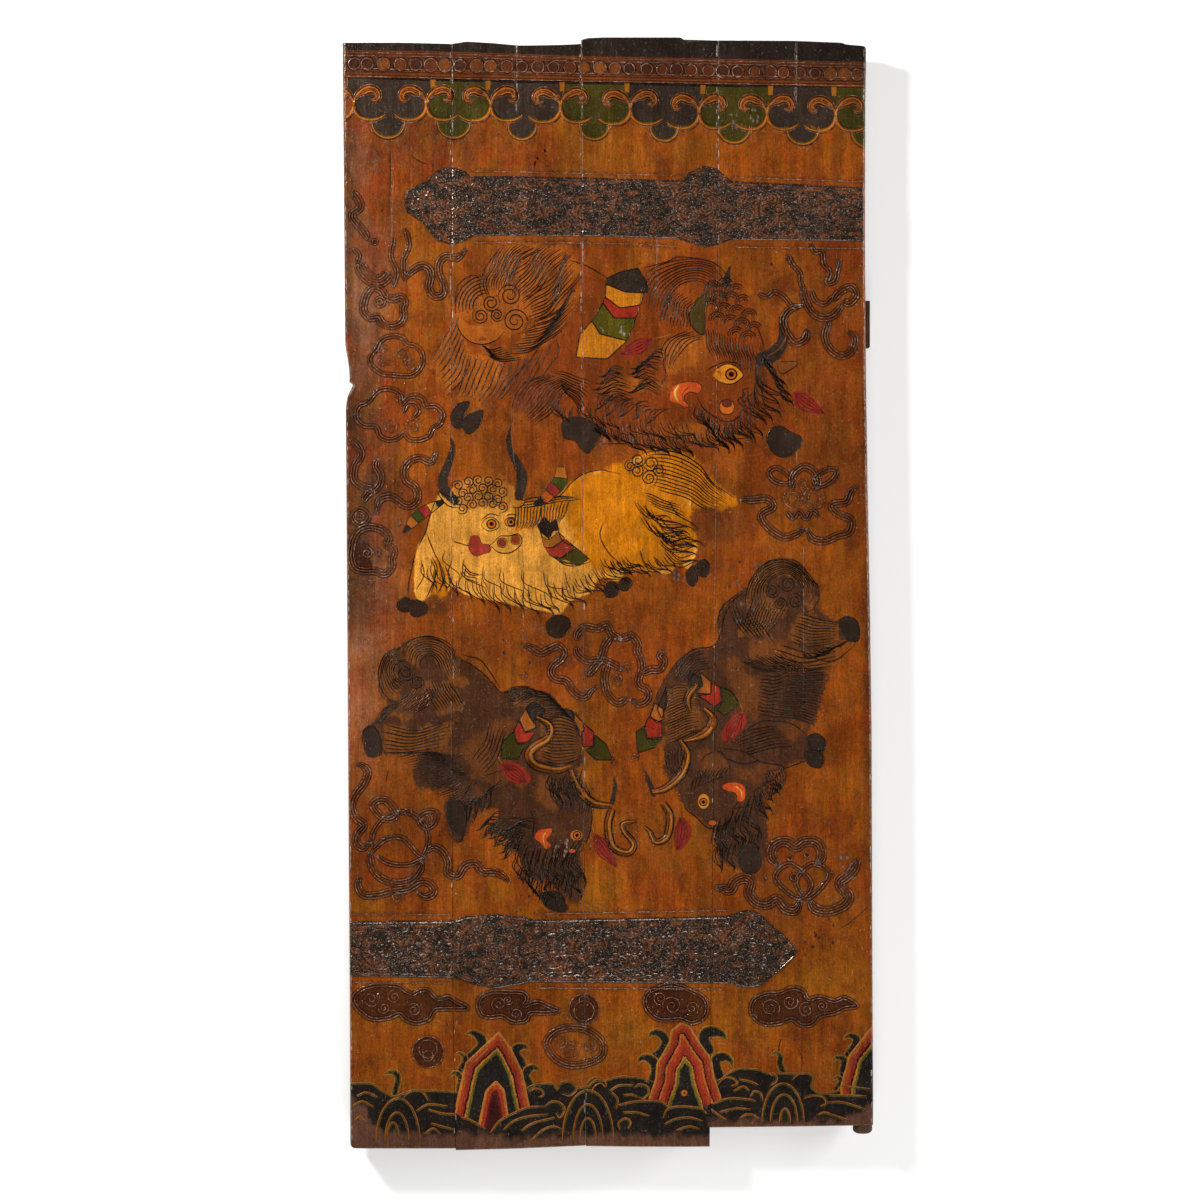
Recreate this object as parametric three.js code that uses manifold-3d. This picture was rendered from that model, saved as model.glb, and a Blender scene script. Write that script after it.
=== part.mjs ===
// A painted door leaf of four upright boards, lying on its back with the painted face up.
// Two tapered battens are let into the backs of the boards with sliding dovetails and hold them together.
// The lower corner of the hinge-side board carries the turned pin that the leaf swings on.
//
// Millimetres. X runs across the leaf, Y up the leaf from foot to head, and +Z out of the painted face.
// Outlines are given as [across, up]: across from the middle of the leaf's width, up from the lowest foot.

import * as THREE from "three";
import { mergeVertices } from "three/addons/utils/BufferGeometryUtils.js";
import Module from "manifold-3d";

// Driving dimensions
const LEAF_HEIGHT = 1915;
const BOARD_THICKNESS = 36;
const BATTEN_PROUD = 20; // how far a batten stands out of the boards' backs
const BATTEN_WIDTH = 80; // at the wide end, on the hinge side
const BATTEN_TAPER = 8; // how much narrower the far end is
const TONGUE_DEPTH = 12; // of the dovetail let into the boards
const TONGUE_FLARE = 5; // undercut on each side of the dovetail
const BATTEN_END_OUT = 9; // the wide end of the upper batten stands past the board's edge
const BATTEN_END_IN = 4; // the other ends stop short of the edge
const PIN_RADIUS = 17;
const PIN_NOSE = 8; // radius of the pin's rounded lower edge
const PIN_LENGTH = 16; // below the hinge-side board
const PIN_ROOT = 60; // inside the board
const BATTEN_CHAMFER = 3; // along its outer arrises
const GAP = 0.3; // between pieces that touch
const CLEAR = 30; // how far cutters run past an edge

const BACK_Z = BATTEN_PROUD;
const FACE_Z = BATTEN_PROUD + BOARD_THICKNESS;

// Roundings of the arrises
const OUTER_ROUND = 6; // along the leaf's two long edges, on the face
const JOINT_ROUND = 1.5; // along the joints, on the face
const END_ROUND = 2; // along heads and feet, on the face
const BACK_ROUND = 1.5; // all round the back
const ROUND_STEPS = [0, 35, 65, 90]; // degrees round a quarter circle
const END_ROWS = 70; // the stretch at each end that follows the slope of the foot or head

const BOARD_NAMES = [
  "plank_latch_side",
  "plank_middle_left",
  "plank_middle_right",
  "plank_hinge_side",
];

// The long edges, from foot to head. The leaf leans a little and its hinge side bows outwards.
const LATCH_EDGE = [
  [-443.5, 0],
  [-444.5, 260],
  [-447.5, 690],
  [-450.5, 1150],
  [-454, 1560],
  [-457, LEAF_HEIGHT],
];
const HINGE_EDGE = [
  [457, 0],
  [457, 100],
  [455.5, 430],
  [454.5, 720],
  [452, 900],
  [447.5, 1150],
  [445, 1320],
  [443, 1560],
  [443.5, 1800],
  [445.5, LEAF_HEIGHT],
];
const JOINTS = [
  [
    [-262, 0],
    [-266.5, 260],
    [-268, 945],
    [-269, LEAF_HEIGHT],
  ],
  [
    [-38, 0],
    [-40, 330],
    [-42.5, 1015],
    [-46, LEAF_HEIGHT],
  ],
  [
    [175.5, 0],
    [177.5, 260],
    [181.5, 600],
    [187.5, 1120],
    [189.5, LEAF_HEIGHT],
  ],
];

// Heads and feet of the four boards, from left to right. Each was trimmed by itself, so none is level.
const HEADS = [
  [
    [-457, 1906],
    [-355, 1906],
    [-269, 1904],
  ],
  [
    [-269, 1904],
    [-243, 1908],
    [-195, 1905],
    [-153, 1901],
    [-85, 1902],
    [-46, 1904],
  ],
  [
    [-46, 1911],
    [-34, 1914],
    [-10, LEAF_HEIGHT],
    [125, LEAF_HEIGHT],
    [137, 1907],
    [160, 1910],
    [189, 1910],
  ],
  [
    [189, 1910],
    [322, 1909],
    [402, 1906],
    [410, 1903],
    [434, 1901],
    [446, 1900],
  ],
];
const FEET = [
  [
    [-444, 3],
    [-262, 3],
  ],
  [
    [-262, 0],
    [-150, 3],
    [-38, 8],
  ],
  [
    [-38, 7],
    [60, 6],
    [175, 6],
  ],
  [
    [175, 39],
    [330, 41],
    [457, 43],
  ],
];
const LATCH_FOOT_CORNER = 9; // radius of the worn corner at the foot of the latch edge
const HINGE_HEAD_CORNER = 6;

// The latch edge is worn to a shallow hollow, with a chipped notch in it
const HOLLOW = { at: 1332, depth: 7, reach: 62 };
const NOTCH = { at: 1318, depth: 7, above: 4, below: 20 };

const BATTENS = [
  { name: "batten_upper", at: 1424, endOut: BATTEN_END_OUT },
  { name: "batten_lower", at: 490, endOut: -BATTEN_END_IN },
];

// Materials
const PAINTED = new THREE.MeshStandardMaterial({
  color: 0x8a4a1c,
  roughness: 0.42,
  metalness: 0,
});
const BARE_WOOD = new THREE.MeshStandardMaterial({
  color: 0x5f4029,
  roughness: 0.78,
  metalness: 0,
});

const wasm = await Module();
wasm.setup();

// Where a broken line of [across, up] points lies across the leaf at this height
function acrossAt(points, up) {
  const next = points.findIndex((p) => p[1] > up);
  const i = next < 0 ? points.length - 2 : Math.max(0, next - 1);
  const [a, b] = [points[i], points[i + 1]];
  const share = THREE.MathUtils.clamp((up - a[1]) / (b[1] - a[1]), 0, 1);
  return THREE.MathUtils.lerp(a[0], b[0], share);
}

// How high a head or foot lies at this place across the leaf
const upAt = (points, across) => acrossAt(points.map(([x, y]) => [y, x]), across);

function latchEdge(up) {
  const t = (up - HOLLOW.at) / HOLLOW.reach;
  const worn = Math.abs(t) < 1 ? HOLLOW.depth * (1 - t * t) ** 2 : 0;
  return acrossAt(LATCH_EDGE, up) + worn;
}

const hingeEdge = (up) => acrossAt(HINGE_EDGE, up);

// How far a rounded arris of this radius has dropped at this distance from the edge
function drop(distance, radius) {
  const inner = Math.max(0, radius - Math.max(0, distance));
  return radius - Math.sqrt(radius ** 2 - inner ** 2);
}

// Distances from an edge that resolve a quarter circle of this radius
const roundSteps = (radius) =>
  ROUND_STEPS.map((degrees) => radius * (1 - Math.cos(THREE.MathUtils.degToRad(degrees))));

// Numbers in order, each one only once
const inOrder = (numbers) =>
  numbers.sort((a, b) => a - b).filter((n, i, all) => i === 0 || n - all[i - 1] > 0.05);

// The four boards, each between two long edges, a foot and a head
const longEdges = [latchEdge, ...JOINTS.map((joint) => (up) => acrossAt(joint, up)), hingeEdge];
const longEdgePoints = [LATCH_EDGE, ...JOINTS, HINGE_EDGE];
const boards = BOARD_NAMES.map((name, i) => {
  const outerLeft = i === 0;
  const outerRight = i === BOARD_NAMES.length - 1;
  const left = (up) => longEdges[i](up) + (outerLeft ? 0 : GAP / 2);
  const right = (up) => longEdges[i + 1](up) - (outerRight ? 0 : GAP / 2);
  const footCorner = outerLeft ? LATCH_FOOT_CORNER : 0;
  const headCorner = outerRight ? HINGE_HEAD_CORNER : 0;
  const hollow = [-1, -0.6, -0.3, 0, 0.3, 0.6, 1].map((t) => HOLLOW.at + t * HOLLOW.reach);
  return {
    name,
    left,
    right,
    leftRound: outerLeft ? OUTER_ROUND : JOINT_ROUND,
    rightRound: outerRight ? OUTER_ROUND : JOINT_ROUND,
    foot: (x) => upAt(FEET[i], x) + drop(x - left(0), footCorner),
    head: (x) => upAt(HEADS[i], x) - drop(right(LEAF_HEIGHT) - x, headCorner),
    endPoints: [...FEET[i], ...HEADS[i]].map(([across]) => across),
    bends: [...longEdgePoints[i], ...longEdgePoints[i + 1]]
      .map(([, up]) => up)
      .concat(outerLeft ? hollow : []),
  };
});

// A board's columns, as shares of its width: close together on the rounded arrises, and one at each
// corner of its foot and head
function columnsOf({ left, right, leftRound, rightRound, endPoints }) {
  const start = left(LEAF_HEIGHT / 2);
  const width = right(LEAF_HEIGHT / 2) - start;
  const inner = [...endPoints.map((x) => x - start), width / 3, (2 * width) / 3].filter(
    (d) => d > OUTER_ROUND * 2 && d < width - OUTER_ROUND * 2,
  );
  const columns = [
    ...roundSteps(leftRound),
    LATCH_FOOT_CORNER,
    ...inner,
    width - HINGE_HEAD_CORNER * 2,
    ...roundSteps(rightRound).map((d) => width - d),
  ];
  return inOrder(columns).map((d) => d / width);
}

// A board's rows, each as its height where the board's foot and head are known. Those between the
// ends lie level, one at each bend of the long edges, so that neighbours match along a joint.
function rowsOf({ bends }) {
  const ends = roundSteps(END_ROUND);
  const levels = bends.filter((up) => up > END_ROWS && up < LEAF_HEIGHT - END_ROWS);
  return [
    ...ends.map((d) => (foot) => foot + d),
    ...inOrder(levels).map((up) => () => up),
    ...ends.map((d) => (foot, head) => head - d).reverse(),
  ];
}

// A board as one closed skin: a grid of face points and a grid of back points, joined round the rim
function boardGeometry(board) {
  const columns = columnsOf(board);
  const rows = rowsOf(board);
  const points = [];
  const place = (share, row, onFace) => {
    const across = (up) => THREE.MathUtils.lerp(board.left(up), board.right(up), share);
    // The long edges lean and the ends slope, so the point is found in two steps
    const guess = across(row(0, LEAF_HEIGHT));
    const x = across(row(board.foot(guess), board.head(guess)));
    const [foot, head] = [board.foot(x), board.head(x)];
    const up = row(foot, head);
    const fall = (leftRound, rightRound, endRound) =>
      Math.max(
        drop(x - board.left(up), leftRound),
        drop(board.right(up) - x, rightRound),
        drop(Math.min(up - foot, head - up), endRound),
      );
    const z = onFace
      ? FACE_Z - fall(board.leftRound, board.rightRound, END_ROUND)
      : BACK_Z + fall(BACK_ROUND, BACK_ROUND, BACK_ROUND);
    points.push(x, up, z);
  };
  for (const onFace of [true, false])
    for (const row of rows) for (const share of columns) place(share, row, onFace);

  const [nc, nr] = [columns.length, rows.length];
  const face = (i, j) => j * nc + i;
  const back = (i, j) => nc * nr + j * nc + i;
  const triangles = [];
  const quad = (a, b, c, d) => triangles.push(a, b, c, a, c, d);
  for (let j = 0; j < nr - 1; j++)
    for (let i = 0; i < nc - 1; i++) {
      quad(face(i, j), face(i + 1, j), face(i + 1, j + 1), face(i, j + 1));
      quad(back(i, j + 1), back(i + 1, j + 1), back(i + 1, j), back(i, j));
    }
  const wall = (i, j, p, q) => quad(back(i, j), back(p, q), face(p, q), face(i, j));
  for (let i = 0; i < nc - 1; i++) {
    wall(i, 0, i + 1, 0);
    wall(i + 1, nr - 1, i, nr - 1);
  }
  for (let j = 0; j < nr - 1; j++) {
    wall(nc - 1, j, nc - 1, j + 1);
    wall(0, j + 1, 0, j);
  }
  const geometry = new THREE.BufferGeometry();
  geometry.setAttribute("position", new THREE.Float32BufferAttribute(points, 3));
  geometry.setIndex(triangles);
  return geometry;
}

// A closed geometry as a solid that can be cut and joined
function solidOf(geometry) {
  const bare = geometry.clone();
  bare.deleteAttribute("normal");
  bare.deleteAttribute("uv");
  const merged = mergeVertices(bare, 1e-4);
  return new wasm.Manifold(
    new wasm.Mesh({
      numProp: 3,
      vertProperties: merged.attributes.position.array,
      triVerts: new Uint32Array(merged.index.array),
    }),
  );
}

function geometryOf(solid) {
  const { vertProperties, triVerts } = solid.getMesh();
  const geometry = new THREE.BufferGeometry();
  geometry.setAttribute(
    "position",
    new THREE.BufferAttribute(vertProperties, 3),
  );
  geometry.setIndex(new THREE.BufferAttribute(triVerts, 1));
  return geometry;
}

// A bar that runs across the leaf at this height, narrowing towards the latch side.
// Its section is given as [up from the bar's middle, out of the back].
function taperedBar(section, from, to, at) {
  const shape = new THREE.Shape(section.map(([v, z]) => new THREE.Vector2(v, z)));
  const bar = new THREE.ExtrudeGeometry(shape, { depth: to - from, bevelEnabled: false });
  const p = bar.attributes.position;
  for (let i = 0; i < p.count; i++) {
    const x = from + p.getZ(i);
    const share = (hingeEdge(at) - x) / (hingeEdge(at) - latchEdge(at));
    const narrowed = 1 - (BATTEN_TAPER / BATTEN_WIDTH) * share;
    p.setXYZ(i, x, at + p.getX(i) * narrowed, p.getY(i));
  }
  return bar;
}

// A section from its upper half
const mirrored = (half) => [...half, ...half.map(([v, z]) => [-v, z]).reverse()];

const half = BATTEN_WIDTH / 2;
const battenSection = mirrored([
  [half - BATTEN_CHAMFER, 0],
  [half, BATTEN_CHAMFER],
  [half, BACK_Z - GAP],
  [half - TONGUE_FLARE, BACK_Z - GAP],
  [half - TONGUE_FLARE, BACK_Z],
  [half, BACK_Z + TONGUE_DEPTH],
]);
const housingSection = mirrored([
  [half - TONGUE_FLARE + GAP * 2, BACK_Z - 1],
  [half - TONGUE_FLARE + GAP * 2, BACK_Z],
  [half + GAP * 2, BACK_Z + TONGUE_DEPTH + GAP],
]);

function battenGeometry({ at, endOut }) {
  return taperedBar(battenSection, latchEdge(at) + BATTEN_END_IN, hingeEdge(at) + endOut, at);
}

function housingSolid({ at }) {
  return solidOf(taperedBar(housingSection, latchEdge(at) - CLEAR, hingeEdge(at) + CLEAR, at));
}

// The chip out of the latch edge, a blunt V with its upper side the steeper
function notchSolid() {
  const edge = latchEdge(NOTCH.at);
  const corners = [
    [edge - CLEAR, NOTCH.at - NOTCH.below * 3],
    [edge, NOTCH.at - NOTCH.below],
    [edge + NOTCH.depth, NOTCH.at],
    [edge, NOTCH.at + NOTCH.above],
    [edge - CLEAR, NOTCH.at + NOTCH.above * 3],
  ];
  const chip = new THREE.Shape(corners.map(([x, y]) => new THREE.Vector2(x, y)));
  const depth = BOARD_THICKNESS + 2;
  const cutter = new THREE.ExtrudeGeometry(chip, { depth, bevelEnabled: false });
  return solidOf(cutter.translate(0, 0, BACK_Z - 1));
}

// The pin, turned round an axis along Y, with a rounded lower edge and a flat end
function pinSolid() {
  const length = PIN_LENGTH + PIN_ROOT;
  const profile = [new THREE.Vector2(0, 0)];
  for (const degrees of ROUND_STEPS) {
    const a = THREE.MathUtils.degToRad(degrees);
    const radius = PIN_RADIUS - PIN_NOSE * (1 - Math.sin(a));
    profile.push(new THREE.Vector2(radius, PIN_NOSE * (1 - Math.cos(a))));
  }
  profile.push(new THREE.Vector2(PIN_RADIUS, length), new THREE.Vector2(0, length));
  const pin = new THREE.LatheGeometry(profile, 32);
  const x = hingeEdge(0) - PIN_RADIUS - GAP;
  const end = upAt(FEET[3], hingeEdge(0)) - PIN_LENGTH;
  return solidOf(pin.translate(x, end, BACK_Z + BOARD_THICKNESS / 2));
}

const housings = BATTENS.map(housingSolid);
const notch = notchSolid();

function boardSolid(board, i) {
  const whole = solidOf(boardGeometry(board));
  const shaped = i === boards.length - 1 ? whole.add(pinSolid()) : whole.subtract(notch);
  return housings.reduce((left, housing) => left.subtract(housing), shaped);
}

// The leaf, with its middle height over the origin
const part = new THREE.Group();

function addPiece(name, geometry, material) {
  const mesh = new THREE.Mesh(geometry, material);
  mesh.name = name;
  mesh.position.y = -LEAF_HEIGHT / 2;
  part.add(mesh);
}

boards.forEach((board, i) => addPiece(board.name, geometryOf(boardSolid(board, i)), PAINTED));
BATTENS.forEach((batten) => addPiece(batten.name, battenGeometry(batten), BARE_WOOD));

export default part;
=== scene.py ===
"""Painted wooden door leaf: four old boards, their painting, raised gesso ornament and wear."""
import math

import bpy
import numpy as np
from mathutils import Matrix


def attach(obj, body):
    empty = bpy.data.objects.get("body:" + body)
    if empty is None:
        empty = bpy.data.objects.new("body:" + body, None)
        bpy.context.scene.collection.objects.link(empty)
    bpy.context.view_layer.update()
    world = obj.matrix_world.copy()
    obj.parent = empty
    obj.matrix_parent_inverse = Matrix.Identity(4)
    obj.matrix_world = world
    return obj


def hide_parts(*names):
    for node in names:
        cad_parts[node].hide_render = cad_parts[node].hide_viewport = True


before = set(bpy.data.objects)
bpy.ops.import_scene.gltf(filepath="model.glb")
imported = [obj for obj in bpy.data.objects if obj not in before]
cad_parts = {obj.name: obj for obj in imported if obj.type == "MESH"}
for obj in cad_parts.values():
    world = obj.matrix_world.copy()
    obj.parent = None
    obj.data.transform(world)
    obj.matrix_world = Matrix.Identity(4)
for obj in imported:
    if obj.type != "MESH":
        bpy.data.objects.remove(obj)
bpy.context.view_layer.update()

# Sizes of the leaf, in millimetres: across from its middle, up from its lowest foot, and out of its face
LEAF_HEIGHT = 1915.0
BACK_Z = 20.0
FACE_Z = 56.0
SIDE_Z = 34.0
OUTER_ROUND = 6.0
JOINT_ROUND = 1.8
END_ROUND = 2.0
BACK_ROUND = 1.5
GAP = 0.3
LATCH_FOOT_CORNER = 9.0
HINGE_HEAD_CORNER = 6.0
LATCH_EDGE = ((-443.5, 0), (-444.5, 260), (-447.5, 690), (-450.5, 1150), (-454, 1560), (-457, 1915))
HINGE_EDGE = ((457, 0), (457, 100), (455.5, 430), (454.5, 720), (452, 900), (447.5, 1150), (445, 1320),
              (443, 1560), (443.5, 1800), (445.5, 1915))
JOINTS = (((-262, 0), (-266.5, 260), (-268, 945), (-269, 1915)),
    ((-38, 0), (-40, 330), (-42.5, 1015), (-46, 1915)),
    ((175.5, 0), (177.5, 260), (181.5, 600), (187.5, 1120), (189.5, 1915)))
HEADS = (((-457, 1906), (-355, 1906), (-269, 1904)),
    ((-269, 1904), (-243, 1908), (-195, 1905), (-153, 1901), (-85, 1902), (-46, 1904)),
    ((-46, 1911), (-34, 1914), (-10, 1915), (125, 1915), (137, 1907), (160, 1910), (189, 1910)),
    ((189, 1910), (322, 1909), (402, 1906), (410, 1903), (434, 1901), (446, 1900)))
FEET = (((-444, 3), (-262, 3)), ((-262, 0), (-150, 3), (-38, 8)), ((-38, 7), (60, 6), (175, 6)),
        ((175, 39), (330, 41), (457, 43)))
HOLLOW_AT, HOLLOW_DEPTH, HOLLOW_REACH = 1332.0, 7.0, 62.0
NOTCH_AT, NOTCH_DEPTH, NOTCH_ABOVE, NOTCH_BELOW = 1318.0, 7.0, 4.0, 20.0
BOARD_NAMES = ("latch_side", "middle_left", "middle_right", "hinge_side")

# Housings for the battens, cut across the backs of the boards
HOUSINGS_AT = (490.0, 1424.0)
HOUSING_NECK, HOUSING_BOTTOM, HOUSING_Z, HOUSING_EDGE = 35.6, 40.6, 32.3, 0.2

# The pin under the hinge-side board
PIN_RADIUS, PIN_NOSE, PIN_END, PIN_ROOT, PIN_Z = 17.0, 8.0, 27.0, 28.0, 38.0
PIN_SIDES = 32
PIN_AT = 457.0 - PIN_RADIUS - GAP

# The layout of the painting is in pixels of the photograph, which the leaf fills from x 342 to 874
PIXEL = 1.72
MIDDLE_PX = 607.8
FOOT_PX = 1150.5

# Mesh sizes, in millimetres: the grid of the boards, and how far things keep from edges and sink in the face
CELL = 3.4
STEP_PX = 2.0
HAIR_STEP_PX = 3.2
STRAND_POINTS = 24
STRAND_VARIES = 0.12
RIDGE_PITCH_PX, RIDGE_WIDTH, RIDGE_HEIGHT = 2.7, 2.2, 1.9
AREA_REACH_PX = 7.0
CROWN = 0.9
MM = 0.001
EDGE_CLEAR = 2.5
SUNK = 0.6
NEAR_EDGE = np.array((0, 0.07, 0.28, 0.6, 1.0))
NEAR_CRACK = np.array((0.55, 1.3))
BACK_SHARES = np.linspace(1, 0, 6)

# Paint and wood colours
GROUND = "#A7530F"
MUSTARD = "#AE6A12"
RUST = "#843A14"
UMBER = "#6A3318"
PAINTED_SHEEN_GREY = "#9A6A50"
EDGE_AND_FOOT_DARK = "#2A1C16"
INK = "#1B110B"
MAROON = "#962C1E"
ORANGE = "#D0671B"
GESSO = "#35201A"
# The black is black paint lightened and warmed by a painted varnish sheen
COATS = {"black": "#382B23", "moss": "#423A10", "green": "#5A500D", "red": "#A22E1C", "yellow": "#CC7A16",
         "amber": "#A65A1E"}


def linear(code):
    """The linear colour of an sRGB hex value: each channel to the power 2.4 above its straight toe."""
    channels = np.array([int(code[i:i + 2], 16) for i in (1, 3, 5)]) / 255
    return np.where(channels < 0.04045, channels / 12.92, ((channels + 0.055) / 1.055) ** 2.4)


def rgba(code):
    """The linear colour with full cover, as a shader socket takes it."""
    return (*linear(code), 1.0)


def on_leaf(points):
    """Layout pixels to millimetres on the leaf: across = (x - middle) * pixel, up = (foot - y) * pixel."""
    p = np.asarray(points, float)
    return np.stack(((p[..., 0] - MIDDLE_PX) * PIXEL, (FOOT_PX - p[..., 1]) * PIXEL), axis=-1)


def in_layout(across, up):
    """Millimetres on the leaf back to layout pixels."""
    return across / PIXEL + MIDDLE_PX, FOOT_PX - up / PIXEL


# Edges and surface of the boards

def along(line, up):
    """Where a line stands at a height, straight between its points."""
    corners = np.array(line, float)
    return np.interp(up, corners[:, 1], corners[:, 0])


def drop(distance, radius):
    """How far a rounded edge has fallen at a distance in from it: radius less the circle's height."""
    inset = np.clip(radius - np.maximum(distance, 0), 0, radius)
    return radius - np.sqrt(radius ** 2 - inset ** 2)


def board_at(across, up):
    """The number of the board at a place: how many joint lines stand to its left."""
    return sum((across > along(joint, up)).astype(int) for joint in JOINTS)


def latch_edge(up):
    """The latch edge, worn to a shallow hollow, depth * (1 - t^2)^2, with a notch that has straight sides."""
    t = np.clip((up - HOLLOW_AT) / HOLLOW_REACH, -1, 1)
    edge = along(LATCH_EDGE, up) + HOLLOW_DEPTH * (1 - t ** 2) ** 2
    levels = (NOTCH_AT - NOTCH_BELOW, NOTCH_AT, NOTCH_AT + NOTCH_ABOVE)
    return edge + np.interp(up, levels, (0, NOTCH_DEPTH, 0))


def board_edges(i, up):
    """The left and right edges of a board at a height, half a gap in from each joint line."""
    left = latch_edge(up) if i == 0 else along(JOINTS[i - 1], up) + GAP / 2
    right = along(HINGE_EDGE, up) if i == 3 else along(JOINTS[i], up) - GAP / 2
    return left, right


def board_foot(i, across, up):
    """The foot line of a board, straight between its points, with the latch corner rounded."""
    corners = np.array(FEET[i], float)
    foot = np.interp(across, corners[:, 0], corners[:, 1])
    return foot + drop(across - latch_edge(up), LATCH_FOOT_CORNER) if i == 0 else foot


def board_head(i, across, up):
    """The head line of a board, straight between its points, with the hinge corner rounded."""
    corners = np.array(HEADS[i], float)
    head = np.interp(across, corners[:, 0], corners[:, 1])
    return head - drop(along(HINGE_EDGE, up) - across, HINGE_HEAD_CORNER) if i == 3 else head


# Shrinkage cracks along the grain, in layout pixels, and where each is open: (from y, to y, depth in mm)
CRACKS = ((((391, 40), (390.7, 240), (392, 620), (429, 655), (430, 720), (430, 1150)),
     ((150, 245, 1.2), (655, 716, 1.6))),
    (((515.7, 40), (515.7, 115), (512, 430), (523.8, 560), (523.8, 700), (523, 1150)),
     ((40, 112, 1.8), (395, 470, 1.4), (540, 655, 1.2))),
    (((657, 40), (657, 255), (655, 600), (653.6, 850), (653, 1150)), ((225, 300, 1.0), (840, 915, 0.9))),
    (((795.5, 40), (795.5, 100), (796.4, 450), (804.5, 560), (804.5, 700), (801.8, 1030), (801.8, 1150)),
     ((40, 110, 1.6), (430, 475, 1.0), (545, 715, 1.4), (1015, 1112, 1.5))))
CRACK_WIDTH = 0.8


def crack_line(i):
    """The crack of a board as a line of (across, up) corners, lowest first."""
    return on_leaf(CRACKS[i][0])[::-1]


def crack_depth(i, across, up):
    """Depth of a board's crack: a bell across it, faded out at both ends of each open stretch."""
    distance = across - along(crack_line(i), up)
    depth = np.zeros_like(across)
    for top, bottom, deep in CRACKS[i][1]:
        high, low = on_leaf(((0, top), (0, bottom)))[:, 1]
        fade = np.clip(np.minimum(high - up, up - low) / 25, 0, 1)
        depth += deep * np.sqrt(fade) * np.exp(-(distance / CRACK_WIDTH) ** 2)
    return depth


def waver(across, up):
    """Slow unevenness of hand-planed boards: a few long sine waves, a third of a millimetre high."""
    return (0.16 * np.sin(across / 17.0 + 1.3 * np.sin(up / 210.0)) + 0.12 * np.sin(up / 41.0 + across / 60.0)
            + 0.10 * np.sin(across / 7.3 + up / 330.0 + 2.0) + 0.06 * np.sin(up / 13.0 - across / 23.0))


def face_rise(across, up, board=None):
    """Height of the painted face over its plane: board crown, unevenness, rounded edges and cracks."""
    across, up = np.asarray(across, float), np.asarray(up, float)
    if board is None:
        return np.choose(board_at(across, up), [face_rise(across, up, i) for i in range(4)])
    left, right = board_edges(board, up)
    from_left, from_right = across - left, right - across
    u = np.clip(2 * from_left / (right - left) - 1, -1, 1)
    ends = np.minimum(up - board_foot(board, across, up), board_head(board, across, up) - up)
    rise = waver(across, up) - CROWN * u ** 2 - drop(ends, END_ROUND)
    rise -= drop(from_left, OUTER_ROUND if board == 0 else JOINT_ROUND)
    rise -= drop(from_right, OUTER_ROUND if board == 3 else JOINT_ROUND)
    return rise - crack_depth(board, across, up)


# Curves of the painting, in layout pixels

def smooth(points, step=STEP_PX, closed=False):
    """A Catmull-Rom curve through the points, resampled at equal steps of its own length."""
    p = np.asarray(points, float)
    ends = (p[-1:], p, p[:2]) if closed else (2 * p[:1] - p[1:2], p, 2 * p[-1:] - p[-2:-1])
    p = np.concatenate(ends)
    t = np.linspace(0, 1, 8, endpoint=False)[None, :, None]
    a, b, c, d = (p[i:len(p) - 3 + i, None] for i in range(4))
    curve = b + 0.5 * t * ((c - a) + t * ((2 * a - 5 * b + 4 * c - d) + t * (3 * b - a - 3 * c + d)))
    curve = np.vstack((curve.reshape(-1, 2), p[-2:-1]))
    return resampled(curve, step)


def resampled(curve, step=STEP_PX, count=None):
    """The curve's points again, at equal distances along it."""
    length = np.concatenate(([0], np.cumsum(np.hypot(*np.diff(curve, axis=0).T))))
    count = count or max(3, int(math.ceil(length[-1] / step)) + 1)
    at = np.linspace(0, length[-1], count)
    return np.column_stack([np.interp(at, length, curve[:, k]) for k in (0, 1)])


def arc(x, y, radius, start, end, tall=None):
    """An arc of a circle or ellipse, from one angle to another: 0 is right, 90 is up."""
    angles = np.radians(np.linspace(start, end, max(5, int(abs(end - start) * radius / 110) + 3)))
    return np.column_stack((x + radius * np.cos(angles), y - (tall or radius) * np.sin(angles)))


def ring(x, y, radius, tall=None):
    """A whole circle or ellipse."""
    return arc(x, y, radius, 0, 360, tall)


def spiral(x, y, radius, turns, start=0, hand=1):
    """An Archimedean spiral that shrinks from the radius to an eighth of it while it turns."""
    t = np.linspace(0, 1, max(10, int(14 * turns * max(1, radius / 9))))
    angles = np.radians(start) + hand * 2 * math.pi * turns * t
    reach = radius * (1 - 0.88 * t)
    return np.column_stack((x + reach * np.cos(angles), y - reach * np.sin(angles)))


def beside(points, offset):
    """A parallel of the curve, at a distance to its left."""
    p = np.asarray(points, float)
    forward = np.gradient(p, axis=0)
    forward /= np.maximum(np.hypot(*forward.T), 1e-6)[:, None]
    return p + offset * np.column_stack((forward[:, 1], -forward[:, 0]))


def half_widths(widths, count):
    """Half of the widths given at equal steps along a curve, spread over its points."""
    return 0.5 * np.interp(np.linspace(0, 1, count), np.linspace(0, 1, len(widths)), widths)


# What the painter and the gesso worker put on the boards, gathered before it is made into meshes
LINES = []
RELIEF = []
PATCHES = []
AREAS = {name: [] for name in (
    "pale_coat", "bright_coat", "brown_coat", "dark_coat", "rubbed", "glow", "lit", "band", "wave", "hill",
    "stepped_hill", "hill_core", "front", "worn", *COATS, "ribbon", "cloud", "soot")}


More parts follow.
